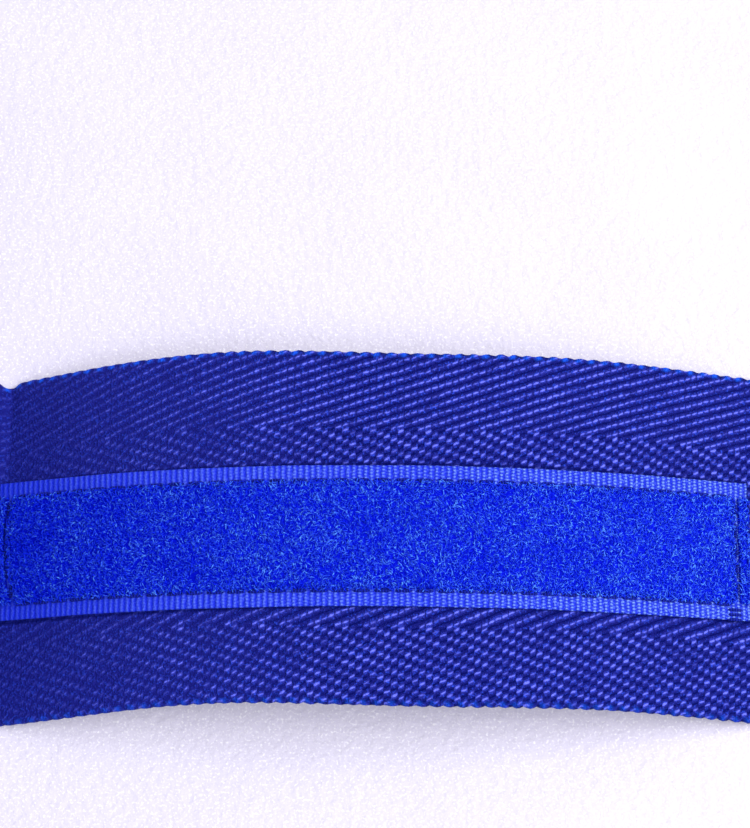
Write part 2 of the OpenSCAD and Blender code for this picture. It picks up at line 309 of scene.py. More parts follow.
def arch_stretches(rise):
    """Up the rise, over the arch, down the straight fall, through the run-out and along the surface."""
    b = band()
    start_z = HALF_T * math.cos(b.crease_slope) + (b.rise - rise) * math.sin(b.crease_slope)
    crest = start_z + rise * math.sin(b.crease_slope) + b.arch_radius * (1 - math.cos(b.crease_slope))
    fall = crest - HALF_T - (b.arch_radius + b.run_out_radius) * (1 - math.cos(b.run_out_slope))
    return [(rise, 0.0),
            bend(b.arch_radius, -b.crease_slope - b.run_out_slope),
            (fall / math.sin(b.run_out_slope), 0.0),
            bend(b.run_out_radius, b.run_out_slope),
            (POINT_X - FOLD_X, 0.0)]


def arch_route():
    """The laid-out band's middle line. Length 0 is at the crease."""
    slope = band().crease_slope
    start = (CREASE_X + HALF_T * math.sin(slope), HALF_T * math.cos(slope), slope)
    return make_route(start, arch_stretches(band().rise))


def laid_route():
    """From the roll's foot up its left side, over the top, down to the crease, and over the arch."""
    roll, crease = roll_facts(), crease_facts()
    side_x = roll["centre_x"] + roll["outer"]
    lead_radius = (CREASE_X - crease["half_chord"] - side_x) / (1 - math.sin(crease["slope"]))
    drop = roll["axis_z"] - crease["z"] - lead_radius * math.cos(crease["slope"])
    inner = roll["outer"] - roll["half_pitch"]
    past_crease = (crease["half_chord"] - HALF_T * math.sin(crease["slope"])) / math.cos(crease["slope"])
    stretches = [bend(inner, -math.pi / 2),
                 bend(roll["outer"], -math.pi),
                 (drop, 0.0),
                 bend(lead_radius, math.pi / 2 - crease["slope"]),
                 bend(crease["radius"], 2 * crease["slope"])]
    stretches += arch_stretches(band().rise - past_crease)
    route = make_route((0.0, roll["axis_z"] - inner, math.pi), stretches)
    route["crease"] = route["s"][4] + crease["radius"] * crease["slope"]
    route["arch_zero"] = route["s"][5] - past_crease
    return route


# ---------------------------------------------------------------------------------------------
# Small rules of shape that several pieces share

def smooth(x):
    """0 below 0, 1 above 1, and the cubic 3x^2 - 2x^3 between."""
    x = np.clip(x, 0.0, 1.0)
    return x * x * (3 - 2 * x)


def ripple(s, across, seed, wavelength):
    """A soft unevenness between -1 and 1: the mean of six sine waves whose lengths and directions
    are drawn from the seed."""
    rng = np.random.default_rng(seed)
    total = 0.0
    for _ in range(6):
        turn, phase = rng.uniform(0, 2 * math.pi), rng.uniform(0, 2 * math.pi)
        size = rng.uniform(0.6, 1.7)
        wave = 2 * math.pi / (wavelength * size)
        total = total + np.sin(wave * (s * math.cos(turn) + across * math.sin(turn)) + phase)
    return total / 6


def settle_on_foot(points):
    """The roll's weight flattens its foot: a point near the bottom is raised by what the outer turn
    reaches below the surface, less with every turn further in, down to nothing after 14 such heights."""
    roll, depth_share = roll_facts(), 14
    inner = roll["outer"] - roll["half_pitch"]
    sink = HALF_T - (roll["axis_z"] - inner)
    half_foot = math.sqrt(max(inner ** 2 - (roll["axis_z"] - HALF_T) ** 2, 1e-12))
    share = np.clip(1 - (points[..., 0] / half_foot) ** 2, 0.0, None)
    depth = np.clip(1 - (points[..., 2] + sink) / (depth_share * sink), 0.0, 1.0)
    settled = points.copy()
    settled[..., 2] += sink * share * depth
    return settled


def band_ring(count, width, thickness, crowd=0.0):
    """A strip's cross-section as a closed ring: across and lift. `count` points cross the top, three
    round each edge, and `count` cross the underside. `crowd` draws them towards the edges."""
    even = np.linspace(-1.0, 1.0, count)
    spread = (1 - crowd) * even + crowd * np.sin(even * math.pi / 2)
    across = spread * (width - thickness) / 2
    turn = np.linspace(math.pi / 2, -math.pi / 2, 5)[1:-1]
    reach = (width - thickness) / 2 + thickness / 2 * np.cos(turn)
    ring_across = np.concatenate([across, reach, across[::-1], -reach])
    ring_lift = np.concatenate([np.full(count, thickness / 2), thickness / 2 * np.sin(turn),
                                np.full(count, -thickness / 2), -thickness / 2 * np.sin(turn)])
    return ring_across, ring_lift


def bell(x, centre, reach):
    """A bell curve: 1 at the centre and 1/e at the reach on either side."""
    return np.exp(-((x - centre) / reach) ** 2)


EDGE_PITCH = 0.00192    # length of one bump of the woven edge


def scallop(s, across, width, depth):
    """How far the woven edge bulges: a rectified sine along the edge whose size and pitch wander,
    only in the last 1.2 mm."""
    edge = smooth((np.abs(across) - (width / 2 - 0.0012)) / 0.0010)
    side = np.sign(across)
    wander = 0.3 * EDGE_PITCH * ripple(s, 2 * width * side, seed=61, wavelength=0.012)
    size = depth * (1 + 0.7 * ripple(s, 2 * width * side, seed=62, wavelength=0.005))
    return side * edge * size * (np.abs(np.sin(math.pi * (s + wander) / EDGE_PITCH)) - 0.5)


# ---------------------------------------------------------------------------------------------
# Meshes from arrays

def build_mesh(name, points, faces, uv, smooth_faces):
    """One mesh object from arrays: points (n, 3), a list of face arrays (f, corners), one uv pair
    for each point and one smooth flag for each face array."""
    mesh = bpy.data.meshes.new(name)
    flat = [f.reshape(-1) for f in faces]
    corners = np.concatenate(flat).astype(np.int32)
    sizes = np.concatenate([np.full(len(f), f.shape[1]) for f in faces])
    starts = np.concatenate([[0], np.cumsum(sizes)[:-1]]).astype(np.int32)
    mesh.vertices.add(len(points))
    mesh.vertices.foreach_set("co", np.ascontiguousarray(points, dtype=np.float32).ravel())
    mesh.loops.add(len(corners))
    mesh.loops.foreach_set("vertex_index", corners)
    mesh.polygons.add(len(starts))
    mesh.polygons.foreach_set("loop_start", starts)
    mesh.update(calc_edges=True)
    flags = np.concatenate([np.full(len(f), flag) for f, flag in zip(faces, smooth_faces)])
    mesh.polygons.foreach_set("use_smooth", flags)
    layer = mesh.uv_layers.new(name="Surface")
    layer.data.foreach_set("uv", np.ascontiguousarray(uv[corners], dtype=np.float32).ravel())
    if mesh.validate():
        raise RuntimeError(f"{name} has faces that Blender had to mend")
    made = bpy.data.objects.new(name, mesh)
    bpy.context.scene.collection.objects.link(made)
    return made


def swept_strip(name, grid, uv):
    """A closed strip from rings: grid (rows, ring, 3). Quads join each ring to the next, and one
    flat face closes each end."""
    rows, ring = grid.shape[:2]
    index = np.arange(rows * ring).reshape(rows, ring)
    turned = np.roll(index, -1, axis=1)
    quads = np.stack([index[:-1], index[1:], turned[1:], turned[:-1]], axis=-1).reshape(-1, 4)
    ends = np.stack([index[0], index[-1][::-1]])
    return build_mesh(name, grid.reshape(-1, 3), [quads, ends], uv.reshape(-1, 2), [True, False])


def tube_batch(name, paths, planes, radii, sides):
    """Many closed tubes at once: paths (tubes, steps, 3), a vector across each path's plane
    (tubes, 3), and the radius at each step. A ring of `sides` points stands square to the path at
    each step."""
    tubes, steps = paths.shape[:2]
    along = np.gradient(paths, axis=1)
    along /= np.linalg.norm(along, axis=-1, keepdims=True) + 1e-12
    side = planes[:, None, :] - (planes[:, None, :] * along).sum(-1, keepdims=True) * along
    side /= np.linalg.norm(side, axis=-1, keepdims=True) + 1e-12
    other = np.cross(along, side)
    turn = np.arange(sides) * 2 * math.pi / sides
    radius = np.broadcast_to(radii, (tubes, steps))[..., None, None]
    ring = side[:, :, None] * np.cos(turn)[:, None] + other[:, :, None] * np.sin(turn)[:, None]
    points = paths[:, :, None] + radius * ring
    index = np.arange(tubes * steps * sides).reshape(tubes, steps, sides)
    turned = np.roll(index, -1, axis=2)
    quads = np.stack([index[:, :-1], turned[:, :-1], turned[:, 1:], index[:, 1:]], axis=-1)
    quads = quads.reshape(-1, 4)
    caps = np.concatenate([index[:, 0, ::-1], index[:, -1]])
    share = np.broadcast_to(np.linspace(0, 1, steps)[None, :, None], index.shape)
    which = np.broadcast_to((np.arange(tubes) / max(tubes, 1))[:, None, None], index.shape)
    uv = np.stack([share, which], axis=-1).reshape(-1, 2)
    return build_mesh(name, points.reshape(-1, 3), [quads, caps], uv, [True, True])


# ---------------------------------------------------------------------------------------------
# Shader building

class Signal:
    """A number or vector that changes over the surface. Its arithmetic adds Math nodes to the tree
    that it belongs to."""

    def __init__(self, socket):
        self.socket, self.tree = socket, socket.id_data

    def math(self, operation, *values):
        return calc(self.tree, operation, self, *values)

    def __add__(self, other):
        return self.math("ADD", other)

    def __sub__(self, other):
        return self.math("SUBTRACT", other)

    def __rsub__(self, other):
        return calc(self.tree, "SUBTRACT", other, self)

    def __mul__(self, other):
        return self.math("MULTIPLY", other)

    def __truediv__(self, other):
        return self.math("DIVIDE", other)

    def __rtruediv__(self, other):
        return calc(self.tree, "DIVIDE", other, self)

    def __pow__(self, other):
        return self.math("POWER", other)

    def __abs__(self):
        return self.math("ABSOLUTE")

    def scaled(self, gain, start):
        """gain times the number, plus start."""
        return self.math("MULTIPLY_ADD", gain, start)

    def above(self, middle, gain):
        """How far the number is above `middle`, times `gain`, held between 0 and 1."""
        node = add_node(self.tree, "ShaderNodeClamp")
        feed(node.inputs[0], (self - middle) * gain)
        return Signal(node.outputs[0])

    def blend(self, first, second):
        """The first colour where the number is 0 and the second where it is 1."""
        node = add_node(self.tree, "ShaderNodeMix", data_type="RGBA")
        feed(node.inputs["Factor"], self)
        feed(node.inputs[6], first)
        feed(node.inputs[7], second)
        return Signal(node.outputs[2])

    def split(self):
        """The three numbers of a vector."""
        node = add_node(self.tree, "ShaderNodeSeparateXYZ")
        feed(node.inputs[0], self)
        return [Signal(part) for part in node.outputs]

    def noise(self, scale, detail=2.0):
        """A soft random number between 0 and 1, from a vector of places."""
        node = add_node(self.tree, "ShaderNodeTexNoise")
        feed_all(node.inputs, Vector=self, Scale=scale, Detail=detail)
        return Signal(node.outputs["Fac"])


def add_node(tree, kind, **settings):
    """A node of that kind with its plain settings."""
    node = tree.nodes.new(kind)
    for name, value in settings.items():
        setattr(node, name, value)
    return node


def feed(socket, value):
    """Links a signal to the socket, or sets a number or colour on it."""
    if isinstance(value, Signal):
        value.tree.links.new(value.socket, socket)
    elif hasattr(value, "__len__") and len(value) == 3 and len(socket.default_value) == 4:
        socket.default_value = (*value, 1.0)
    else:
        socket.default_value = value


def feed_all(sockets, **values):
    """Feeds several sockets, named by label."""
    for label, value in values.items():
        feed(sockets[label], value)


def calc(tree, operation, *values):
    """The output of one Math node."""
    node = add_node(tree, "ShaderNodeMath", operation=operation)
    for socket, value in zip(node.inputs, values):
        feed(socket, value)
    return Signal(node.outputs[0])


def new_group(name, inputs, outputs):
    """An empty shader node group: its input signals and its output sockets. Inputs are given with
    their default, or with None for a vector."""
    tree = bpy.data.node_groups.new(name, "ShaderNodeTree")
    for label, value in inputs.items():
        kind = "NodeSocketVector" if value is None else "NodeSocketFloat"
        socket = tree.interface.new_socket(name=label, in_out="INPUT", socket_type=kind)
        if value is not None:
            socket.default_value = value
    for label in outputs:
        tree.interface.new_socket(name=label, in_out="OUTPUT", socket_type="NodeSocketFloat")
    given = tree.nodes.new("NodeGroupInput").outputs
    return {label: Signal(given[label]) for label in inputs}, tree.nodes.new("NodeGroupOutput").inputs


def use_group(tree, name, **values):
    """The output signals of a placed group with its inputs fed."""
    node = add_node(tree, "ShaderNodeGroup", node_tree=bpy.data.node_groups[name])
    feed_all(node.inputs, **values)
    return {output.name: Signal(output) for output in node.outputs}


def herringbone_group():
    """Yarn floats of a herringbone on (along, across) coordinates: `float` is 1 along a float's
    middle, `glint` 1 on its crown, where a highlight is painted, and `pit` 1 or more between two
    floats, `loose` 1 except near the crease, where it falls to 0.06 to fade the painted
    highlights and pits as painted shade, `yarn` a random shade for each float, `edge` 1 on the
    bumps of the outermost millimetre, 0.45 of that on the front edge as painted shade, and
    `height` the relief."""
    given, out = new_group(
        "herringbone",
        {"surface": None, "column_pitch": 0.00096, "row_pitch": 0.0004, "chevron_width": 0.014,
         "half_width": 0.025, "tight_rows": 0.2, "pressed_at": 0.0, "pressed_reach": 0.05},
        ["float", "glint", "pit", "loose", "yarn", "edge", "height"])
    edge_width, rows_in_a_float, least_near_crease = 0.0008, 4.0, 0.06
    along, across, _ = given["surface"].split()
    stray = given["surface"].noise(700.0) - 0.5
    column = along / given["column_pitch"] + stray * 0.5
    whole, inside = column.math("FLOOR"), column.math("FRACT")
    # every float leans the same way, so the place across is sheared inside each column
    lean = inside - 0.5 + stray * 0.9
    # the rows are packed closer beyond the first chevron towards the back edge
    beyond = (across - given["chevron_width"]).math("MAXIMUM", 0.0)
    sheared = beyond * given["tight_rows"] + across - lean * given["row_pitch"]
    zone = sheared.math("PINGPONG", given["chevron_width"]) / given["row_pitch"]
    phase = (zone + whole) / rows_in_a_float
    beside = abs(phase.math("FRACT") - 0.5)
    ends = (inside * math.pi).math("SINE")
    body = (1.0 - beside * 3.2).math("MAXIMUM", 0.0)
    crown = (1.0 - beside * 9.0).math("MAXIMUM", 0.0)
    between = ((beside - 0.30) * 6.0).math("MAXIMUM", 0.0)
    # loose fades the painted highlights and pits towards the crease: painted shade on the cloth that
    # turns away from the key light
    far = abs(along - given["pressed_at"]) / given["pressed_reach"]
    loose = (far.math("MINIMUM", 1.0) ** 1.7).scaled(1 - least_near_crease, least_near_crease)
    cell = add_node(along.tree, "ShaderNodeCombineXYZ")
    feed_all(cell.inputs, X=whole, Y=phase.math("FLOOR"))
    random = add_node(along.tree, "ShaderNodeTexWhiteNoise", noise_dimensions="2D")
    feed(random.inputs["Vector"], Signal(cell.outputs[0]))
    rim = (abs(across) - (given["half_width"] - edge_width)).above(0.0, 3200.0)
    bumps = rim * abs((column * (math.pi / 2)).math("SINE")) ** 3.5
    # front_edge_shade is painted shade: the front edge's bumps get 0.45 of the brighter edge colour, as
    # the light falls from the back
    front_edge_shade = across.math("GREATER_THAN", 0.0).scaled(0.55, 0.45)
    long_float = body * ends ** 0.4
    feed_all(out, float=long_float, glint=crown * ends ** 1.5 * loose, pit=between * loose,
             loose=loose, yarn=Signal(random.outputs["Value"]), edge=bumps * front_edge_shade,
             height=long_float ** 0.6 + bumps)


def ribs_group():
    """The ribs of a woven tape: `rib` is 1 on a rib's crest and `bead` 1 on the beads along it."""
    given, out = new_group(
        "tape_ribs", {"surface": None, "rib_pitch": 0.0008, "bead_pitch": 0.0006}, ["rib", "bead"])
    along, across, _ = given["surface"].split()
    stray = given["surface"].noise(1100.0) - 0.5
    turns = along / given["rib_pitch"] + stray * 0.3
    # the beads of one rib stand in the gaps of the next
    beads = across / given["bead_pitch"] + (turns + 0.25).math("FLOOR") * 0.5
    waves = [(place * (2 * math.pi)).math("SINE") * 0.5 + 0.5 for place in (turns, beads)]
    feed_all(out, rib=waves[0], bead=waves[1])


def fibre_group():
    """Fine fibre unevenness on Object coordinates: `fleck` a soft random shade, `fuzz` a fine height."""
    given, out = new_group("fibre", {"place": None, "size": 0.0004}, ["fleck", "fuzz"])
    scaled = add_node(given["place"].tree, "ShaderNodeVectorMath", operation="SCALE")
    feed(scaled.inputs[0], given["place"])
    feed(scaled.inputs["Scale"], 1.0 / given["size"])
    place = Signal(scaled.outputs[0])
    feed_all(out, fleck=place.noise(0.22, 3.0), fuzz=place.noise(1.9))


SHEEN_TINT = (0.15, 0.22, 1.0)
DULL_TINT = (0.28, 0.36, 1.0)
SATIN_TINT = (0.50, 0.55, 1.0)


def cloth_material(name, roughness, sheen, gloss=0.09, tint=DULL_TINT):
    """A material with a plain Principled BSDF, its shader, and the coordinates that patterns read."""
    material = bpy.data.materials.new(name)
    material.use_nodes = True
    tree = material.node_tree
    shader = tree.nodes["Principled BSDF"].inputs
    plain = {"Roughness": roughness, "Sheen Weight": sheen, "Sheen Roughness": 0.4,
             "Sheen Tint": SHEEN_TINT, "Specular IOR Level": gloss, "Specular Tint": tint}
    feed_all(shader, **plain)
    surface = Signal(add_node(tree, "ShaderNodeUVMap", uv_map="Surface").outputs[0])
    place = Signal(add_node(tree, "ShaderNodeTexCoord").outputs["Object"])
    return material, shader, surface, place


def fibres(place, size):
    """The fibre pattern at one size."""
    return use_group(place.tree, "fibre", place=place, size=size)


def smoothed(shine, dull, polished):
    """A roughness that goes from `dull` where the shine is 0 to `polished` where it is 1."""
    return shine.above(0.0, 1.0).scaled(polished - dull, dull)


def bumped(shader, height, distance):
    """Gives the shader a bump of that height."""
    node = add_node(height.tree, "ShaderNodeBump")
    feed_all(node.inputs, Distance=distance, Height=height)
    feed(shader["Normal"], Signal(node.outputs[0]))


def painted_seam_shadow(surface, place):
    """1 on the thin line of band beside the sewn strip's two edges, where a painted shadow stands for
    the shade that the strip's edge casts.
    """
    span, line, gap = strip_span(), 0.0004, 0.0001
    first = roll_route()["s"][-1] + laid_route()["arch_zero"]
    middle = first + (span["from"] + span["to"]) / 2
    away = abs(abs(place.split()[1]) - (STRIP_W / 2 + gap))
    along = abs(surface.split()[0] - middle)
    return away.above(line, -1 / line) * along.math("LESS_THAN", (span["to"] - span["from"]) / 2)


def crease_shade(surface, crease):
    """1 inside the fold on the roll's side of the crease, fading to 0 along the band."""
    reach = 0.009
    return abs(surface.split()[0] - (crease - 0.7 * reach)).above(reach, -1 / reach)


def webbing_material(name, half_width):
    """Herringbone cotton: dark ground with specks and with pits painted dark as shade, floats that
    differ in shade, painted highlights on the crowns, and brighter bumps along the woven edges,
    partly their own blue and partly painted highlight. Beside the crease the weave's marks and
    relief are fainter, as painted shade on cloth that turns away from the key light. A painted
    shadow lines the sewn strip's edges, and painted shade lies in the crease."""
    b = band()
    crease = roll_route()["s"][-1] + laid_route()["crease"]
    material, shader, surface, place = cloth_material(name, 0.44, 0.04)
    weave = use_group(surface.tree, "herringbone", surface=surface, column_pitch=b.column_pitch,
                      row_pitch=b.row_pitch, chevron_width=b.chevron_width, half_width=half_width,
                      pressed_at=crease + 0.004)
    fine, soft, grain = (fibres(place, size) for size in (0.0006, 0.0011, 0.00036))
    ground, floats = tuple(b.ground_colour), tuple(b.float_colour)
    speck_colour = (0.6 * floats[0], 1.25 * floats[1], 1.4 * floats[2])
    # painted_shade_colour is the dark of painted shade: in the weave's pits and hollows, in the seam
    # beside the strip and in the crease
    painted_shade_colour = (0.05 * ground[0], 0.15 * ground[1], 0.42 * ground[2])
    loose = weave["loose"]
    shade = (weave["yarn"] + soft["fleck"]) * 0.75
    cloth = (weave["float"] * (shade * loose.scaled(0.72, 0.28))).blend(ground, floats)
    speck = fine["fuzz"].above(0.54, 6.0) * loose.scaled(0.45, 0.40)
    # hollows between floats and small sunk spots are painted dark as shade
    hollow = weave["pit"] * fine["fuzz"].above(0.36, 8.0)
    sunk = fine["fuzz"].above(0.48, -8.0) + grain["fuzz"].above(0.46, -9.0)
    pit_shade = sunk * loose.scaled(0.27, 0.06) + hollow
    # painted highlight on the floats' crowns
    lit = weave["glint"] * (weave["yarn"].scaled(1.1, 0.15) * soft["fleck"] * 4.2)
    # the edge bumps' brighter blue: partly the edge yarns' own colour, partly painted highlight
    rim = weave["edge"] * (fine["fuzz"] * 1.9)
    colour = pit_shade.blend(speck.blend(cloth, speck_colour), painted_shade_colour)
    colour = rim.blend(lit.blend(colour, tuple(b.glint_colour)), tuple(b.selvedge_colour))
    # painted shadow along the sewn strip's edges
    colour = (painted_seam_shadow(surface, place) * 0.85).blend(colour, painted_shade_colour)
    colour = (crease_shade(surface, crease) * 0.45).blend(colour, painted_shade_colour)
    feed(shader["Base Color"], colour)
    feed(shader["Roughness"], smoothed(lit, 0.62, 0.26))
    bumped(shader, fine["fuzz"] * 1.4 + weave["height"] * loose.scaled(0.75, 0.25), 0.00032)
    return material


def tape_material(name, full_light_after):
    """Woven nylon tape: ribs across it, broken into beads that catch the light. Ribs and beads are
    faint at the tape's start and stand out fully past the length `full_light_after`: painted shade
    where the strip turns away from the key light."""
    t = tapes()
    material, shader, surface, place = cloth_material(name, 0.38, 0.04, 0.30, SATIN_TINT)
    ribs = use_group(surface.tree, "tape_ribs", surface=surface, rib_pitch=t.rib_pitch,
                     bead_pitch=0.00046)
    fine, soft = fibres(place, 0.00052), fibres(place, 0.0010)
    # light_ramp is painted shade: ribs and beads fade towards the tape's start, near the crease, where
    # the strip turns away from the key light
    risen = (surface.split()[0] / full_light_after).math("MINIMUM", 1.0)
    light_ramp = (risen ** 1.5).scaled(0.92, 0.08)
    bead_gaps = (1.0 - ribs["bead"]) * (risen * 1.7).math("MINIMUM", 1.0)
    beads = 1.0 - bead_gaps * 0.95
    share = ribs["rib"] ** 1.5 * beads * ((fine["fuzz"] + soft["fleck"]) * 1.25 * light_ramp)
    speck = fine["fuzz"].above(0.53, 6.0) * (light_ramp * 0.45)
    feed(shader["Base Color"], (share + speck).blend(tuple(t.ground_colour), tuple(t.rib_colour)))
    feed(shader["Roughness"], smoothed(share, 0.58, 0.26))
    bumped(shader, ribs["rib"] * (beads + 0.6) * light_ramp + fine["fuzz"], 0.00018)
    return material


def fibre_material(name, dark, bright, roughness, favour=2.5):
    """Loose fibres or loops: each has its own shade, few of them bright when `favour` is high, the
    brightest partly painted highlight, clumps of them are brighter or darker than others, and all
    are duller in the 45 mm beside the crease, as painted shade on the side turned from the key light."""
    material, shader, surface, place = cloth_material(name, roughness, 0.03)
    random = add_node(place.tree, "ShaderNodeTexWhiteNoise", noise_dimensions="1D")
    feed(random.inputs["W"], surface.split()[1] * 977.0)
    clumps, patch = fibres(place, 0.00065), fibres(place, 0.0014)
    own = Signal(random.outputs["Value"]) ** favour * patch["fleck"]
    clumped = clumps["fuzz"].above(0.47, 6.5).scaled(0.83, 0.17)
    # painted shade: the loops' highlights are dimmed near the crease, where the strip turns away from
    # the key light
    light_side = place.split()[0].above(CREASE_X, 22.0).scaled(0.55, 0.45)
    lit = clumped * (own.scaled(3.4, 0.06) * light_side)
    feed(shader["Base Color"], lit.blend(tuple(dark), tuple(bright)))
    feed(shader["Roughness"], smoothed(lit, roughness, 0.5 * roughness))
    bumped(shader, clumps["fuzz"], 0.00010)
    return material


def thread_material(name):
    """Twisted sewing thread: slanting plies along each stitch."""
    material, shader, surface, place = cloth_material(name, 0.45, 0.15)
    twist = (surface.split()[0] * 38.0).math("SINE")
    dark = tuple(thread().colour)
    share = (twist + 1.0) * fibres(place, 0.00015)["fleck"]
    feed(shader["Base Color"], share.blend(dark, tuple(2.2 * c for c in dark)))
    bumped(shader, twist, 0.00006)
    return material


def finish_of(name):
    """The material of that name, made at its first use."""
    t = tapes()
    makers = {
        "woven_band": lambda: webbing_material(name, BAND_W / 2),
        "woven_thumb_tape": lambda: webbing_material(name, THUMB_W / 2),
        "woven_loop_tape": lambda: tape_material(name, full_light_after=0.10),
        "woven_tape": lambda: tape_material(name, full_light_after=0.001),
        "pile_strands": lambda: fibre_material(name, t.pile_colour, t.pile_glint_colour, 0.34, 3.2),
        # the bed's dark end is painted shade between the loops
        "pile_bed": lambda: fibre_material(name, t.pile_root_shade_colour, t.pile_colour, 0.8),
        "stray_strands": lambda: fibre_material(name, t.pile_colour, t.pile_glint_colour, 0.35, 0.6),
        "hook_plastic": lambda: fibre_material(
            name, t.hook_colour, tuple(min(1.0, 1.9 * c) for c in t.hook_colour), 0.35),
        "sewing_thread": lambda: thread_material(name)}
    return bpy.data.materials.get(name) or makers[name]()


def dressed(piece, finish):
    """The piece with the material of that finish."""
    piece.data.materials.append(finish_of(finish))
    return piece


def cloth_piece(name, grid, s, across, finish):
    """A dressed strip whose surface coordinates are the lengths along and across the flat cloth."""
    uv = np.stack(np.broadcast_arrays(s, across), axis=-1)
    return dressed(swept_strip(name, grid, uv), finish)


# ---------------------------------------------------------------------------------------------
# The band

ROW_STEP = 0.00048      # length of one row of faces
CUT = 0.1125            # length along the arch at which the laid band ends and the point begins


def build_wound_band():
    """The rolled part: the ring of the cross-section carried along the spiral, each turn shifted a
    little sideways, with a scalloped edge, and the foot settled on the surface."""
    route = roll_route()
    total = route["s"][-1]
    coarser, thinner = 1.32, 0.97
    s = np.linspace(0.0, total, int(total / (coarser * ROW_STEP)))[:, None]
    across, lift = band_ring(7, BAND_W, BAND_T * thinner, crowd=0.6)
    slow = 0.00028 * ripple(s, 0.0, seed=5, wavelength=0.19)
    quick = 0.00012 * ripple(s, 0.0, seed=6, wavelength=0.05)
    straight_end = 0.06
    shift = (slow + quick) * smooth((total - s) / straight_end)
    y = across + scallop(s, across, BAND_W, depth=0.00032) + shift
    wave = 0.00003 * ripple(s, across, seed=7, wavelength=0.03)
    grid = settle_on_foot(lay(route, s, y, lift + wave))
    piece = cloth_piece("wound_band", grid, s, across, "woven_band")
    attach(piece, "roll")
    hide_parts("band_roll", "inner_end_hem")
    return piece


def crease_skew(route, s, across):
    """How far the crease runs late towards the back edge of the band."""
    late, reach = 0.0019, 0.011
    return late * bell(s, route["crease"], reach) * smooth(across / BAND_W + 0.5)


def crease_pucker(route, s, across):
    """The crease bites deeper at the back edge, which draws the edge in beside it: a bell curve."""
    past, reach = 0.0016, 0.0013
    near = bell(s, route["crease"] + past, reach)
    return near * smooth((across - 0.30 * BAND_W) / (0.20 * BAND_W))


def band_bow(arch_s):
    """The band lies a little to the back of its strip: two soft swells of a bell curve's shape."""
    return 0.00180 * bell(arch_s, 0.034, 0.024) + 0.00125 * bell(arch_s, 0.086, 0.031)


def build_laid_band():
    """The outer turn, the lead, the crease and the arch in one cloth: the ring carried along the
    laid route, with a soft waviness, scalloped edges that are pressed smaller beside the crease, and
    a crease that runs slightly askew. The cloth rests on the surface and not in it."""
    route = laid_route()
    total = route["arch_zero"] + CUT
    s = np.linspace(0.0, total, int(total / ROW_STEP))[:, None]
    across, lift = band_ring(34, BAND_W, BAND_T, crowd=0.3)
    skew = crease_skew(route, s, across)
    bow = band_bow(s - route["arch_zero"])
    pucker = crease_pucker(route, s, across)
    settled_end, least_near_crease, pressed_reach = 0.02, 0.4, 0.06
    wave = 0.00014 * ripple(s, across, seed=11, wavelength=0.022) * smooth(s / settled_end)
    free = smooth(np.abs(s - route["crease"]) / pressed_reach)
    free = least_near_crease + (1 - least_near_crease) * free
    edged = across + scallop(s + BAND_W, across, BAND_W, depth=0.00026 * free)
    drawn_in, bitten = 0.0007 * pucker, 0.0004 * pucker
    grid = lay(route, s - skew, edged + bow - drawn_in, lift + wave - bitten)
    grid[..., 0] += skew
    grid = settle_on_foot(grid)
    grid[..., 2] = np.maximum(grid[..., 2], 0.0)
    wound = roll_route()["s"][-1]
    piece = cloth_piece("laid_band", grid, s + wound, across, "woven_band")
    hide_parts("band_lead", "band_strip_span")
    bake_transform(piece)
    return piece


FOLD_R = 0.00047        # radius of the half circle that a folded corner goes round


def fold_corners(x, across, lift):
    """Folds both corners over: beyond the slanted fold line a point goes round a half circle of
    radius FOLD_R and comes back over the band, upside down."""
    side = np.sign(across)
    past = ((x - SHOULDER_X) + (np.abs(across) - BAND_W / 2)) / math.sqrt(2)
    turn = np.clip(past / FOLD_R, 0.0, math.pi)
    beyond = np.clip(past - math.pi * FOLD_R, 0.0, None)
    reach = np.where(past > 0, FOLD_R * np.sin(turn) - beyond, past)
    height = np.where(past > 0, FOLD_R * (1 - np.cos(turn)), 0.0)
    out = (reach - past - lift * np.sin(turn)) / math.sqrt(2)
    return x + out, across + side * out, height + lift * np.cos(turn)


def build_band_point():
    """The closing end: from the cut across the arch to the tip, with both corners folded over."""
    route = arch_route()
    flat_zero = route["s"][4]
    total = flat_zero + POINT_X - FOLD_X
    fine_step = 0.00038
    s = np.linspace(CUT, total, int((total - CUT) / fine_step))[:, None]
    across, lift = band_ring(118, BAND_W, BAND_T)
    edge = scallop(s + BAND_W, across, BAND_W, depth=0.00026)
    x, y, height = fold_corners(FOLD_X + s - flat_zero, across + edge, lift)
    wave = 0.00006 * ripple(s, across, seed=12, wavelength=0.02) * smooth((s - CUT) / 0.01)
    grid = lay(route, x - FOLD_X + flat_zero, y + band_bow(s), height + wave)
    piece = cloth_piece("band_point", grid, s, across, "woven_band")
    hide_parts("band_end", "corner_fold_front", "corner_fold_back")
    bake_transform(piece)
    total - CUT
    return piece


# ---------------------------------------------------------------------------------------------
# The loop strip

def strip_span():
    """Where the strip starts and ends along the arch, and where its end stitching runs."""
    t = tapes()
    start, stop = t.strip_gap, t.strip_gap + t.strip_length
    return {"from": start, "to": stop, "run_from": start + t.end_inset, "run_to": stop - t.end_inset,
            "stitch_y": STRIP_W / 2 - t.selvedge + 0.0002}


def strip_offset(s):
    """The strip is sewn on by hand, so it strays from straight by one soft wave."""
    stray, half_wave = 0.00018, 0.075
    return stray * np.cos(math.pi * s / half_wave)


def row_bow(s, across):
    """The first end row is sewn in a shallow bow, a + b u + c u^2 with u from -1 at the back edge to 1
    at the front, and the pile beside it follows: fully at the row, and not at all 12 mm past it."""
    span, fade = strip_span(), 0.012
    u = -across / span["stitch_y"]
    bow = -0.00075 + 0.00045 * u + 0.0012 * u ** 2
    before = np.clip((s - span["from"]) / (span["run_from"] - span["from"]), 0.0, 1.0)
    past = np.clip((s - span["run_from"]) / fade, 0.0, 1.0)
    return s + bow * before * (1 - smooth(past))


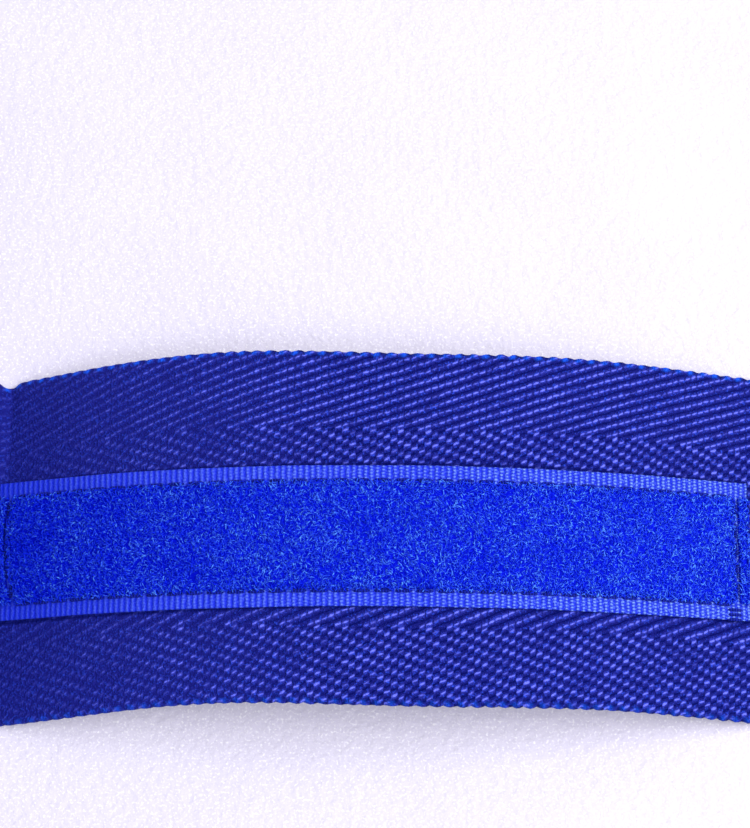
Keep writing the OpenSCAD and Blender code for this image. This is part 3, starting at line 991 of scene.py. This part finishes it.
def build_loop_ground():
    """The strip's woven ground: the ring carried along the arch, ribbed on its two bare edges and
    pulled down along the stitching."""
    route, span, t = arch_route(), strip_span(), tapes()
    s = np.linspace(span["from"], span["to"], 560)[:, None]
    across, lift = band_ring(34, STRIP_W, t.strip_ground, crowd=0.55)
    rib_height, pulled_down, above = 0.00005, 0.00014, 0.00003
    bare = smooth((np.abs(across) - span["stitch_y"] + 0.0002) / 0.0004)
    ribs = rib_height * np.sin(2 * math.pi * s / t.rib_pitch) * bare * np.sign(lift)
    sewn = -pulled_down * bell(np.abs(across), span["stitch_y"], 0.00035)
    middle = HALF_T + above + t.strip_ground / 2
    y = across + strip_offset(s) + 0.00006 * ripple(s, across, seed=21, wavelength=0.01)
    grid = lay(route, s, y, middle + lift + ribs + sewn * (lift > 0))
    piece = cloth_piece("loop_tape_ground", grid, s, across, "woven_loop_tape")
    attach(piece, "strip_span")
    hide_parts("loop_tape")
    return piece


def pile_fields():
    """The three fields of pile along the strip: before, between and after the end stitching."""
    span, gap, rim = strip_span(), 0.0004, 0.0001
    return [(span["from"] + rim, span["run_from"] - gap),
            (span["run_from"] + gap, span["run_to"] - gap),
            (span["run_to"] + gap, span["to"] - rim)]


def build_pile_bed():
    """The matted root of the pile: low uneven slabs, one for each field, lower at their rims."""
    route, span, t = arch_route(), strip_span(), tapes()
    top = HALF_T + t.strip_ground + 0.00002
    step, thickness, lowest = 0.00026, 0.0004, 0.0002
    pieces, half = [], span["stitch_y"] - 0.0003
    for number, (start, stop) in enumerate(pile_fields()):
        s = np.linspace(start, stop, max(8, int((stop - start) / step)))[:, None]
        across, lift = band_ring(50, 2 * half, thickness)
        inward = smooth((half - np.abs(across)) / 0.0009)
        rim = inward * smooth(np.minimum(s - start, stop - s) / 0.0008)
        coarse = ripple(s, across, seed=31, wavelength=0.0012)
        rough = 0.5 + 0.5 * coarse + 0.35 * ripple(s, across, seed=32, wavelength=0.0006)
        height = (lowest + rim * (0.00022 + 0.00026 * rough)) * (lift > 0)
        grid = lay(route, row_bow(s, across), across + strip_offset(s), top + height)
        name = f"pile_bed_{number + 1}"
        piece = cloth_piece(name, grid, s, across * 10, "pile_bed")
        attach(piece, "strip_span")
        pieces.append(piece)
    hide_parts("loop_pile")
    return pieces


PILE_PIECES = 6
STRAND = 0.000060       # usual radius of a loop's strand
ROOT = 0.00025          # height inside the bed at which a loop starts


def build_pile_loops():
    """The loops: each rises from the bed, curls over sideways and comes down again. Its height
    follows a half sine, and its line wanders by a full sine along and across its own plane."""
    route, span, t = arch_route(), strip_span(), tapes()
    base = HALF_T + t.strip_ground
    half = span["stitch_y"] - 0.0002
    start, stop = span["from"], span["to"]
    pieces, part = [], (stop - start) / PILE_PIECES
    k = np.linspace(0, 1, 7)[None, :]
    for number in range(PILE_PIECES):
        rng = np.random.default_rng(100 + number)
        s0 = start + (number + rng.uniform(0.0, 1.0, t.pile_loops)) * part
        from_row = np.minimum(np.abs(s0 - span["run_from"]), np.abs(s0 - span["run_to"]))
        s0 = s0[~(from_row < 0.00035)]
        count = len(s0)
        y0 = rng.uniform(-half, half, count)
        turn = rng.uniform(0, 2 * math.pi, count)
        reach = rng.uniform(0.0004, 0.0012, count)
        beside_row = smooth((half - np.abs(y0)) / 0.0006)
        height = (t.pile_height - 0.00035) * rng.uniform(0.35, 1.0, count) * (0.35 + 0.65 * beside_row)
        curl = rng.uniform(0.00002, 0.00013, count)
        phase = rng.uniform(0, 2 * math.pi, count)
        c, d = np.cos(turn)[:, None], np.sin(turn)[:, None]
        bow, first = curl[:, None], phase[:, None]
        along = reach[:, None] * (k - 0.5) + bow * (np.sin(2 * math.pi * k + first) - np.sin(first))
        aside = bow * (np.cos(1.6 * math.pi * k + first) - np.cos(first))
        up = ROOT + height[:, None] * np.sin(math.pi * k) ** 0.8
        s = np.clip(s0[:, None] + along * c - aside * d, start, stop)
        y = np.clip(y0[:, None] + along * d + aside * c, -half - 0.0003, half + 0.0003)
        paths = lay(route, row_bow(s, y), y + strip_offset(s), base + up)
        planes = np.stack([-np.sin(turn), np.cos(turn), np.full(count, 0.2)], axis=-1)
        radii = (STRAND * rng.uniform(0.7, 1.4, count))[:, None]
        piece = tube_batch(f"pile_loops_{number + 1}", paths, planes, radii, 3)
        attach(dressed(piece, "pile_strands"), "strip_span")
        pieces.append(piece)
    return pieces


def build_stray_fibres():
    """Loose filaments on the pile: long flat curls whose line is a slow double sine."""
    route, span, t = arch_route(), strip_span(), tapes()
    rng = np.random.default_rng(300)
    count, half = 110, span["stitch_y"]
    s0 = rng.uniform(span["from"] + 0.003, span["to"] - 0.003, count)[:, None]
    y0 = rng.uniform(-half + 0.001, half - 0.001, count)[:, None]
    turn = rng.uniform(0, 2 * math.pi, count)[:, None]
    length = (0.0009 + 0.0016 * rng.uniform(0, 1, count) ** 3)[:, None]
    sway, phase = rng.uniform(0.1, 0.35, count)[:, None], rng.uniform(0, 2 * math.pi, count)[:, None]
    k = np.linspace(0, 1, 11)[None, :]
    along = length * (k - 0.5)
    aside = length * sway * (np.sin(math.pi * k + phase) + 0.3 * np.sin(3.1 * math.pi * k + 2 * phase))
    s = s0 + along * np.cos(turn) - aside * np.sin(turn)
    y = np.clip(y0 + along * np.sin(turn) + aside * np.cos(turn), -half, half)
    raised = 0.55 + 0.42 * np.sin(math.pi * k) * rng.uniform(0.4, 1, count)[:, None]
    up = HALF_T + t.strip_ground + t.pile_height * raised
    paths = lay(route, s, y + strip_offset(s), up)
    planes = np.tile([0.0, 0.3, 1.0], (count, 1))
    radii = 0.000035 * (1 - 0.6 * np.abs(2 * k - 1) ** 3)
    piece = dressed(tube_batch("stray_fibres", paths, planes, radii, 4), "stray_strands")
    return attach(piece, "strip_span")


# ---------------------------------------------------------------------------------------------
# Stitches

def places(length, pitch, stitch):
    """Even places of the stitches in a run, centred on it."""
    count = int((length - stitch) / pitch)
    return (length - count * pitch) / 2 + pitch * np.arange(count + 1)


def stitch_batch(name, centres, directions, normals, length, dip):
    """Stitches: each is a thread along its direction whose middle stands up and whose ends dive
    into the cloth by `dip`, following a parabola, with ends that taper as a half ellipse."""
    k = np.linspace(-1, 1, 9)[None, :, None]
    paths = centres[:, None] + directions[:, None] * k * length / 2 - normals[:, None] * dip * k ** 2
    planes = np.cross(directions, normals)
    radii = thread().radius * np.sqrt(np.clip(1.02 - k[:, :, 0] ** 6, 0.05, None))
    return dressed(tube_batch(name, paths, planes, radii, 8), "sewing_thread")


def arch_stitches(route, s, across, height, sideways):
    """Centres, directions and normals of stitches on the arch."""
    s, across = np.broadcast_arrays(s, across)
    heading = follow(route, s)[2]
    zero = np.zeros_like(heading)
    centres = lay(route, s, across, height)
    along = np.stack([np.cos(heading), zero, np.sin(heading)], axis=-1)
    over = np.stack([zero, zero + 1, zero], axis=-1)
    normals = np.stack([-np.sin(heading), zero, np.cos(heading)], axis=-1)
    return centres, over if sideways else along, normals


def build_strip_stitches():
    """The stitched box round the loop strip, above and below, and the back-tack at one corner."""
    route, span, th = arch_route(), strip_span(), thread()
    dip, corner, tack_pitch = 0.00024, 0.0008, 0.0007
    long_run = span["run_from"] + places(span["run_to"] - span["run_from"], th.pitch, th.length)
    short = 2 * (span["stitch_y"] - corner)
    cross_run = places(short, th.pitch, th.length) - short / 2
    tack = -span["stitch_y"] - tack_pitch * np.arange(1, 4)
    tack_s = np.full(3, span["run_to"] - 0.0004)
    top, bottom = HALF_T + tapes().strip_ground + 0.00016, -HALF_T - 0.00006
    made = []
    for name, node, lift, facing in (("strip_stitches", "loop_tape_stitches", top, 1.0),
                                     ("strip_bobbin_stitches", "loop_tape_bobbin_thread", bottom, -1.0)):
        parts = [arch_stitches(route, long_run, side + strip_offset(long_run), lift, False)
                 for side in (-span["stitch_y"], span["stitch_y"])]
        for s in (span["run_from"], span["run_to"]):
            row = row_bow(np.full(len(cross_run), s), cross_run)
            parts.append(arch_stitches(route, row, cross_run + strip_offset(s), lift, True))
        if facing > 0:
            parts.append(arch_stitches(route, tack_s, tack + strip_offset(span["run_to"]), lift, False))
        centres, directions, normals = (np.concatenate([part[i] for part in parts]) for i in range(3))
        piece = stitch_batch(name, centres, directions, facing * normals, th.length, dip)
        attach(piece, "strip_span")
        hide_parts(node)
        made.append(piece)
    return made


def flat_run(start, stop):
    """Centres and directions of a straight run of stitches between two points on a flat piece."""
    start, stop = np.array(start), np.array(stop)
    way = stop - start
    length = np.linalg.norm(way)
    way /= length
    at = places(length, thread().pitch, thread().length)
    return start + at[:, None] * way, np.tile(way, (len(at), 1))


STITCH_DIP = 0.00022


def join_runs(runs, name):
    """One piece from several flat runs of stitches, on the folded end."""
    centres, directions = (np.concatenate([run[i] for run in runs]) for i in range(2))
    normals = np.tile([0.0, 0.0, 1.0], (len(centres), 1))
    piece = stitch_batch(name, centres, directions, normals, thread().length, STITCH_DIP)
    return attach(piece, "folded_end")


def build_end_stitches():
    """The stitches of the folded corners, and the box with its cross on the hook tape."""
    inset, half, above = 0.0016, BAND_W / 2, 0.00008
    shift, flap_top = inset / math.sqrt(2), FLAP_HIGH.z + above
    runs = [flat_run((SHOULDER_X + inset - shift, side * (half - inset - shift), flap_top),
                     (SHOULDER_X + half - STRIP_W / 2 - inset - shift,
                      side * (STRIP_W / 2 + inset - shift), flap_top))
            for side in (-1.0, 1.0)]
    corner = join_runs(runs, "corner_stitches")
    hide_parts("corner_fold_stitches")
    top, margin = HOOK_HIGH.z + above, 0.0018
    x0, x1 = HOOK_LOW.x + margin, HOOK_HIGH.x - margin
    y0, y1 = HOOK_LOW.y + margin, HOOK_HIGH.y - margin
    corners = [(x0, y0, top), (x1, y0, top), (x1, y1, top), (x0, y1, top)]
    runs = [flat_run(a, b) for a, b in zip(corners, corners[1:] + corners[:1])]
    runs += [flat_run(corners[0], corners[2]), flat_run(corners[1], corners[3])]
    box = join_runs(runs, "hook_tape_box_stitches")
    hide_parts("hook_tape_stitches")
    return corner, box


def eye_stitches(name, node, radius, angles, start, length):
    """Rows of stitches along the roll's axis, at each angle round the eye."""
    y = start + places(length, thread().pitch, thread().length)
    angle, y = (grid.ravel() for grid in np.meshgrid(angles, y, indexing="ij"))
    axis_z = roll_facts()["axis_z"]
    centres = np.stack([radius * np.cos(angle), y, axis_z + radius * np.sin(angle)], axis=-1)
    directions = np.tile([0.0, 1.0, 0.0], (len(y), 1))
    normals = np.stack([-np.cos(angle), np.zeros_like(y), -np.sin(angle)], axis=-1)
    piece = stitch_batch(name, centres, directions, normals, thread().length, STITCH_DIP)
    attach(piece, "roll")
    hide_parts(node)
    return piece


def build_eye_stitches():
    """The rows of stitches inside the eye: one holds the hem, five hold the thumb tape."""
    eye, above, front = band().eye_radius, 0.00006, -BAND_W / 2
    hem_radius = eye - HEM_GAP - BAND_T - above
    tape_radius = eye - 2 * (thumb().thickness + HEM_GAP) - above
    tape_angles = np.radians(np.arange(-126, -53, 18.0))
    return [eye_stitches("hem_stitches", "inner_hem_stitches", hem_radius, [-HEM_ARC / 2],
                         front + 0.002, BAND_W - 0.004),
            eye_stitches("thumb_tape_rows", "thumb_tape_stitches", tape_radius, tape_angles,
                         front + 0.003, 0.016)]


# ---------------------------------------------------------------------------------------------
# The thumb loop

EYE_EDGE = 0.0002       # how far past the band's front edge the tape starts to bend
FLAT_AFTER = 0.014      # length of tape outside the eye over which the hollow flattens out


def build_thumb_tape():
    """The thumb tape in one cloth: both ends lie in the eye and are as hollow as it is, and the loop
    between them flattens out. A ring is carried along the route, and its sides are raised by
    (1 - cos(k c)) / k, where k is the eye's curvature near the roll and fades to nothing."""
    th, roll = thumb(), roll_facts()
    t = th.thickness
    low_r = band().eye_radius - HEM_GAP - t / 2
    top_r = low_r - t - HEM_GAP
    sewn = ENDS_HIGH.y - ENDS_LOW.y + EYE_EDGE
    top_z, low_z = roll["axis_z"] - top_r, roll["axis_z"] - low_r
    over = [bend(th.rise_radius, th.rise), bend(th.top_radius, -th.rise - th.dive)]
    reached = make_route((0.0, top_z, 0.0), over)
    tip_r = (reached["z"][-1] - t / 2) / (1 + math.cos(th.dive))
    lifted = math.acos(1 - (low_z - t / 2) / (2 * th.low_radius))
    rest = reached["x"][-1] - tip_r * math.sin(th.dive) - 2 * th.low_radius * math.sin(lifted)
    stretches = [(sewn, 0.0)] + over + [
        bend(tip_r, th.dive - math.pi), (rest, 0.0), bend(th.low_radius, -lifted),
        bend(th.low_radius, lifted), (sewn, 0.0)]
    route = make_route((-sewn, top_z, 0.0), stretches)
    total = route["s"][-1]
    s = np.linspace(0.0, total, int(total / 0.0005))[:, None]
    across, lift = band_ring(15, THUMB_W, t)
    out = follow(route, s)[0]
    hollow = 1 - smooth(out / FLAT_AFTER)
    upper = np.where(s < total / 2, 1.0, -1.0)
    curve = hollow / np.where(s < total / 2, top_r, low_r) + 1e-6
    side = np.sin(curve * across) / curve
    raised = (1 - np.cos(curve * across)) / curve
    side = side + scallop(s, across, THUMB_W, depth=0.00022)
    line = lay(route, s, side, upper * raised + lift)
    free = (1 - hollow) * smooth((line[..., 2] - 0.001) / 0.006)
    wave = 0.00025 * ripple(s, across, seed=41, wavelength=0.02) * free
    front = -BAND_W / 2 - EYE_EDGE
    grid = np.stack([-line[..., 1], front - line[..., 0], line[..., 2] + wave], axis=-1)
    piece = cloth_piece("thumb_tape", grid, s, across, "woven_thumb_tape")
    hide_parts("thumb_loop", "thumb_tape_ends")
    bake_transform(piece)
    return piece


# ---------------------------------------------------------------------------------------------
# The hook tape

TAB_FLAT = 0.020        # length of the free tab that lies flat
TAB_CURL = math.radians(25)
TAB_CORNER = 0.004      # radius of the free end's corners


def tab_route():
    """The hook tape's middle line: flat where it is sewn and a little beyond, then curling up."""
    curl = TAB_HIGH.x - TAB_LOW.x - TAB_FLAT
    radius = curl / math.sin(TAB_CURL)
    start = (HOOK_LOW.x, (HOOK_LOW.z + HOOK_HIGH.z) / 2, 0.0)
    return make_route(start, [(TAB_LOW.x + TAB_FLAT - HOOK_LOW.x, 0.0), bend(radius, TAB_CURL)])


def build_hook_tape():
    """The hook tape in one cloth, sewn part and free tab, with rounded corners at its free end."""
    route = tab_route()
    total = route["s"][-1]
    s = np.linspace(0.0, total, 420)[:, None]
    across, lift = band_ring(24, STRIP_W, HOOK_T, crowd=0.5)
    from_round = TAB_CORNER - np.clip(total - s, 0.0, TAB_CORNER)
    rounded = np.sqrt(np.clip(TAB_CORNER ** 2 - from_round ** 2, 0.0, None))
    narrow = 1 - (TAB_CORNER - rounded) / (STRIP_W / 2)
    rib_height, hooked_half, stiff = 0.00004, 0.0078, 0.03
    bare = smooth((np.abs(across) - hooked_half) / 0.0004)
    ribs = rib_height * np.sin(2 * math.pi * s / tapes().rib_pitch) * bare * np.sign(lift)
    wave = 0.00022 * ripple(s, across, seed=51, wavelength=0.025) * smooth((s - stiff) / 0.02)
    grid = lay(route, s, across * narrow, lift + ribs + wave)
    piece = cloth_piece("hook_tape", grid, s, across, "woven_tape")
    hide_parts("hook_tape_sewn", "hook_tab")
    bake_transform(piece)
    return piece


def build_hooks():
    """The hooks under the free tab: staggered rows, each hook a bristle that goes straight down and
    turns through most of a circle at its end, every row facing the other way."""
    route, t = tab_route(), tapes()
    hook_radius, half_field = 0.00011, 0.0072
    first = TAB_LOW.x - HOOK_LOW.x + 0.0015
    rows = np.arange(first, route["s"][-1] - 0.0025, t.hook_pitch)
    columns = np.arange(-half_field, half_field + 0.00001, t.hook_pitch)
    s0, y0 = np.meshgrid(rows, columns, indexing="ij")
    number = np.arange(len(rows))[:, None]
    facing = np.where(number % 2 == 0, 1.0, -1.0) * np.ones_like(s0)
    y0 = y0 + (number % 2) * t.hook_pitch / 2 - t.hook_pitch / 4
    s0, y0, facing = s0.ravel(), y0.ravel(), facing.ravel()
    stem, curl = t.hook_height * 0.62, t.hook_height * 0.30
    k = np.linspace(0, 1, 3)[:-1]
    turn = np.linspace(0, math.radians(235), 6)
    out = np.concatenate([np.zeros(2), curl * (1 - np.cos(turn))])
    down = np.concatenate([k * stem, stem + curl * np.sin(turn)])
    s = s0[:, None] + facing[:, None] * (out - 0.0003)
    paths = lay(route, s, y0[:, None], -HOOK_T / 2 + 0.00005 - down)
    planes = np.tile([0.0, 1.0, 0.0], (len(s0), 1))
    piece = dressed(tube_batch("hooks", paths, planes, hook_radius, 5), "hook_plastic")
    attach(piece, "hook_tab")
    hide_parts("hook_field")
    return piece


# ---------------------------------------------------------------------------------------------
# The stage

def strip_middle():
    """The middle of the stitched box, on top of the pile."""
    span, route = strip_span(), arch_route()
    s = np.array([span["run_from"], span["run_to"]])
    x = float(follow(route, s)[0].mean())
    z = float(follow(route, s.mean(keepdims=True))[1][0])
    return Vector((x, 0.0, z + HALF_T))


def build_floor():
    """A pale floor with a very slight unevenness, well beyond the object. It glows faintly, as painted
    light that keeps its shadows pale, and carries painted sparkles.
    """
    side = np.linspace(-4.0, 4.0, 61)
    x, y = np.meshgrid(side, side, indexing="ij")
    z = np.full_like(x, -0.00004)
    index = np.arange(x.size).reshape(x.shape)
    quads = np.stack([index[:-1, :-1], index[1:, :-1], index[1:, 1:], index[:-1, 1:]], axis=-1)
    quads = quads.reshape(-1, 4)
    points = np.stack([x, y, z], axis=-1).reshape(-1, 3)
    floor = build_mesh("floor", points, [quads], points[:, :2], [True])
    material = bpy.data.materials.new("floor")
    material.use_nodes = True
    shader = material.node_tree.nodes["Principled BSDF"].inputs
    # The faint emission is painted light: the floor glows so that the shadows on it stay pale.
    plain = {"Roughness": 0.8, "Emission Color": (0.92, 0.90, 1.0), "Emission Strength": 0.08}
    feed_all(shader, **plain)
    place = Signal(add_node(material.node_tree, "ShaderNodeTexCoord").outputs["Object"])
    pale = place.noise(60.0, 3.0).blend((0.56, 0.535, 0.65), (0.62, 0.60, 0.69))
    # painted sparkle: tiny highlights, as of glints in the floor's fibres
    sparkle = place.noise(2700.0).above(0.55, 6.0) * 0.8
    feed(shader["Base Color"], sparkle.blend(pale, (0.86, 0.86, 0.88)))
    bumped(shader, place.noise(700.0, 5.0), 0.00035)
    floor.data.materials.append(material)


def stand(name, data, place, away):
    """An object at that place whose front faces against the direction `away`."""
    made = bpy.data.objects.new(name, data)
    made.location = place
    made.rotation_mode = "QUATERNION"
    made.rotation_quaternion = away.to_track_quat("Z", "Y")
    bpy.context.scene.collection.objects.link(made)
    return made


def build_camera():
    """The camera looks down on the strip, from the front."""
    target = strip_middle() + Vector((0.0003, stage().look_past, 0.0))
    away = Vector((0.0, -math.cos(stage().elevation), math.sin(stage().elevation)))
    data = bpy.data.cameras.new("camera")
    data.lens = stage().lens
    data.clip_start, data.clip_end = 0.01, 20.0
    camera = stand("camera", data, target + away * stage().distance, away)
    bpy.context.scene.camera = camera


def add_lamp(name, place, power, size, colour):
    """A square soft light that faces the middle of the strip."""
    data = bpy.data.lights.new(name, "AREA")
    data.energy, data.size, data.color = power, size, colour
    stand(name, data, place, Vector(place) - strip_middle())


def build_light():
    """A key light from the right, a weak fill from the front and above, and an even sky."""
    add_lamp("key_light", (0.44, 0.01, 0.48), stage().key_power, 0.50, (1.0, 0.98, 1.0))
    add_lamp("fill_light", (0.05, -0.20, 0.80), stage().fill_power, 0.6, (0.97, 0.96, 1.0))
    world = bpy.data.worlds.new("sky")
    world.use_nodes = True
    sky = world.node_tree.nodes["Background"].inputs
    feed_all(sky, Color=(0.93, 0.92, 1.0), Strength=stage().sky)
    bpy.context.scene.world = world
    bpy.context.scene.view_settings.view_transform = "Standard"


# ---------------------------------------------------------------------------------------------
# Operators, panel and registration

class HANDWRAP_OT_patterns(bpy.types.Operator):
    """Makes the shader groups that the cloths share"""
    bl_idname = "hand_wrap.patterns"
    bl_label = "Weave patterns"

    def execute(self, context):
        herringbone_group()
        ribs_group()
        fibre_group()
        return {"FINISHED"}


class HANDWRAP_OT_band(bpy.types.Operator):
    """Makes the woven band: the roll, the laid-out stretch and the folded point"""
    bl_idname = "hand_wrap.band"
    bl_label = "Band"

    def execute(self, context):
        build_wound_band()
        build_laid_band()
        build_band_point()
        return {"FINISHED"}


class HANDWRAP_OT_loop_strip(bpy.types.Operator):
    """Makes the loop strip: its woven ground, the bed of its pile and the loops"""
    bl_idname = "hand_wrap.loop_strip"
    bl_label = "Loop strip"

    def execute(self, context):
        build_loop_ground()
        build_pile_bed()
        build_pile_loops()
        build_stray_fibres()
        return {"FINISHED"}


class HANDWRAP_OT_thumb_tape(bpy.types.Operator):
    """Makes the thumb tape with its loop"""
    bl_idname = "hand_wrap.thumb_tape"
    bl_label = "Thumb tape"

    def execute(self, context):
        build_thumb_tape()
        return {"FINISHED"}


class HANDWRAP_OT_hook_tape(bpy.types.Operator):
    """Makes the hook tape and its hooks"""
    bl_idname = "hand_wrap.hook_tape"
    bl_label = "Hook tape"

    def execute(self, context):
        build_hook_tape()
        build_hooks()
        return {"FINISHED"}


class HANDWRAP_OT_stitches(bpy.types.Operator):
    """Makes all the sewing"""
    bl_idname = "hand_wrap.stitches"
    bl_label = "Stitches"

    def execute(self, context):
        build_strip_stitches()
        build_end_stitches()
        build_eye_stitches()
        return {"FINISHED"}


class HANDWRAP_OT_stage(bpy.types.Operator):
    """Makes the floor, the light and the camera"""
    bl_idname = "hand_wrap.stage"
    bl_label = "Stage"

    def execute(self, context):
        build_floor()
        build_camera()
        build_light()
        return {"FINISHED"}


OPERATORS = (HANDWRAP_OT_patterns, HANDWRAP_OT_band, HANDWRAP_OT_loop_strip, HANDWRAP_OT_thumb_tape,
             HANDWRAP_OT_hook_tape, HANDWRAP_OT_stitches, HANDWRAP_OT_stage)


class HANDWRAP_PT_panel(bpy.types.Panel):
    """Lists the steps and the sizes that they use"""
    bl_idname = "HANDWRAP_PT_panel"
    bl_label = "Hand wrap"
    bl_space_type = "VIEW_3D"
    bl_region_type = "UI"
    bl_category = "Hand wrap"

    def draw(self, context):
        for operator in OPERATORS:
            self.layout.operator(operator.bl_idname)
        for name, group in SETTINGS.items():
            settings = getattr(context.scene, name)
            for key in group.__annotations__:
                self.layout.prop(settings, key)


CLASSES = (*SETTINGS.values(), *OPERATORS, HANDWRAP_PT_panel)


def register():
    for made in CLASSES:
        bpy.utils.register_class(made)
    for name, group in SETTINGS.items():
        setattr(bpy.types.Scene, name, PointerProperty(type=group))


def unregister():
    for name in SETTINGS:
        delattr(bpy.types.Scene, name)
    for made in reversed(CLASSES):
        bpy.utils.unregister_class(made)


def main():
    register()
    bpy.ops.hand_wrap.stage()
    bpy.ops.hand_wrap.patterns()
    bpy.ops.hand_wrap.band()
    bpy.ops.hand_wrap.loop_strip()
    bpy.ops.hand_wrap.thumb_tape()
    bpy.ops.hand_wrap.hook_tape()
    bpy.ops.hand_wrap.stitches()


if __name__ == "__main__":
    main()
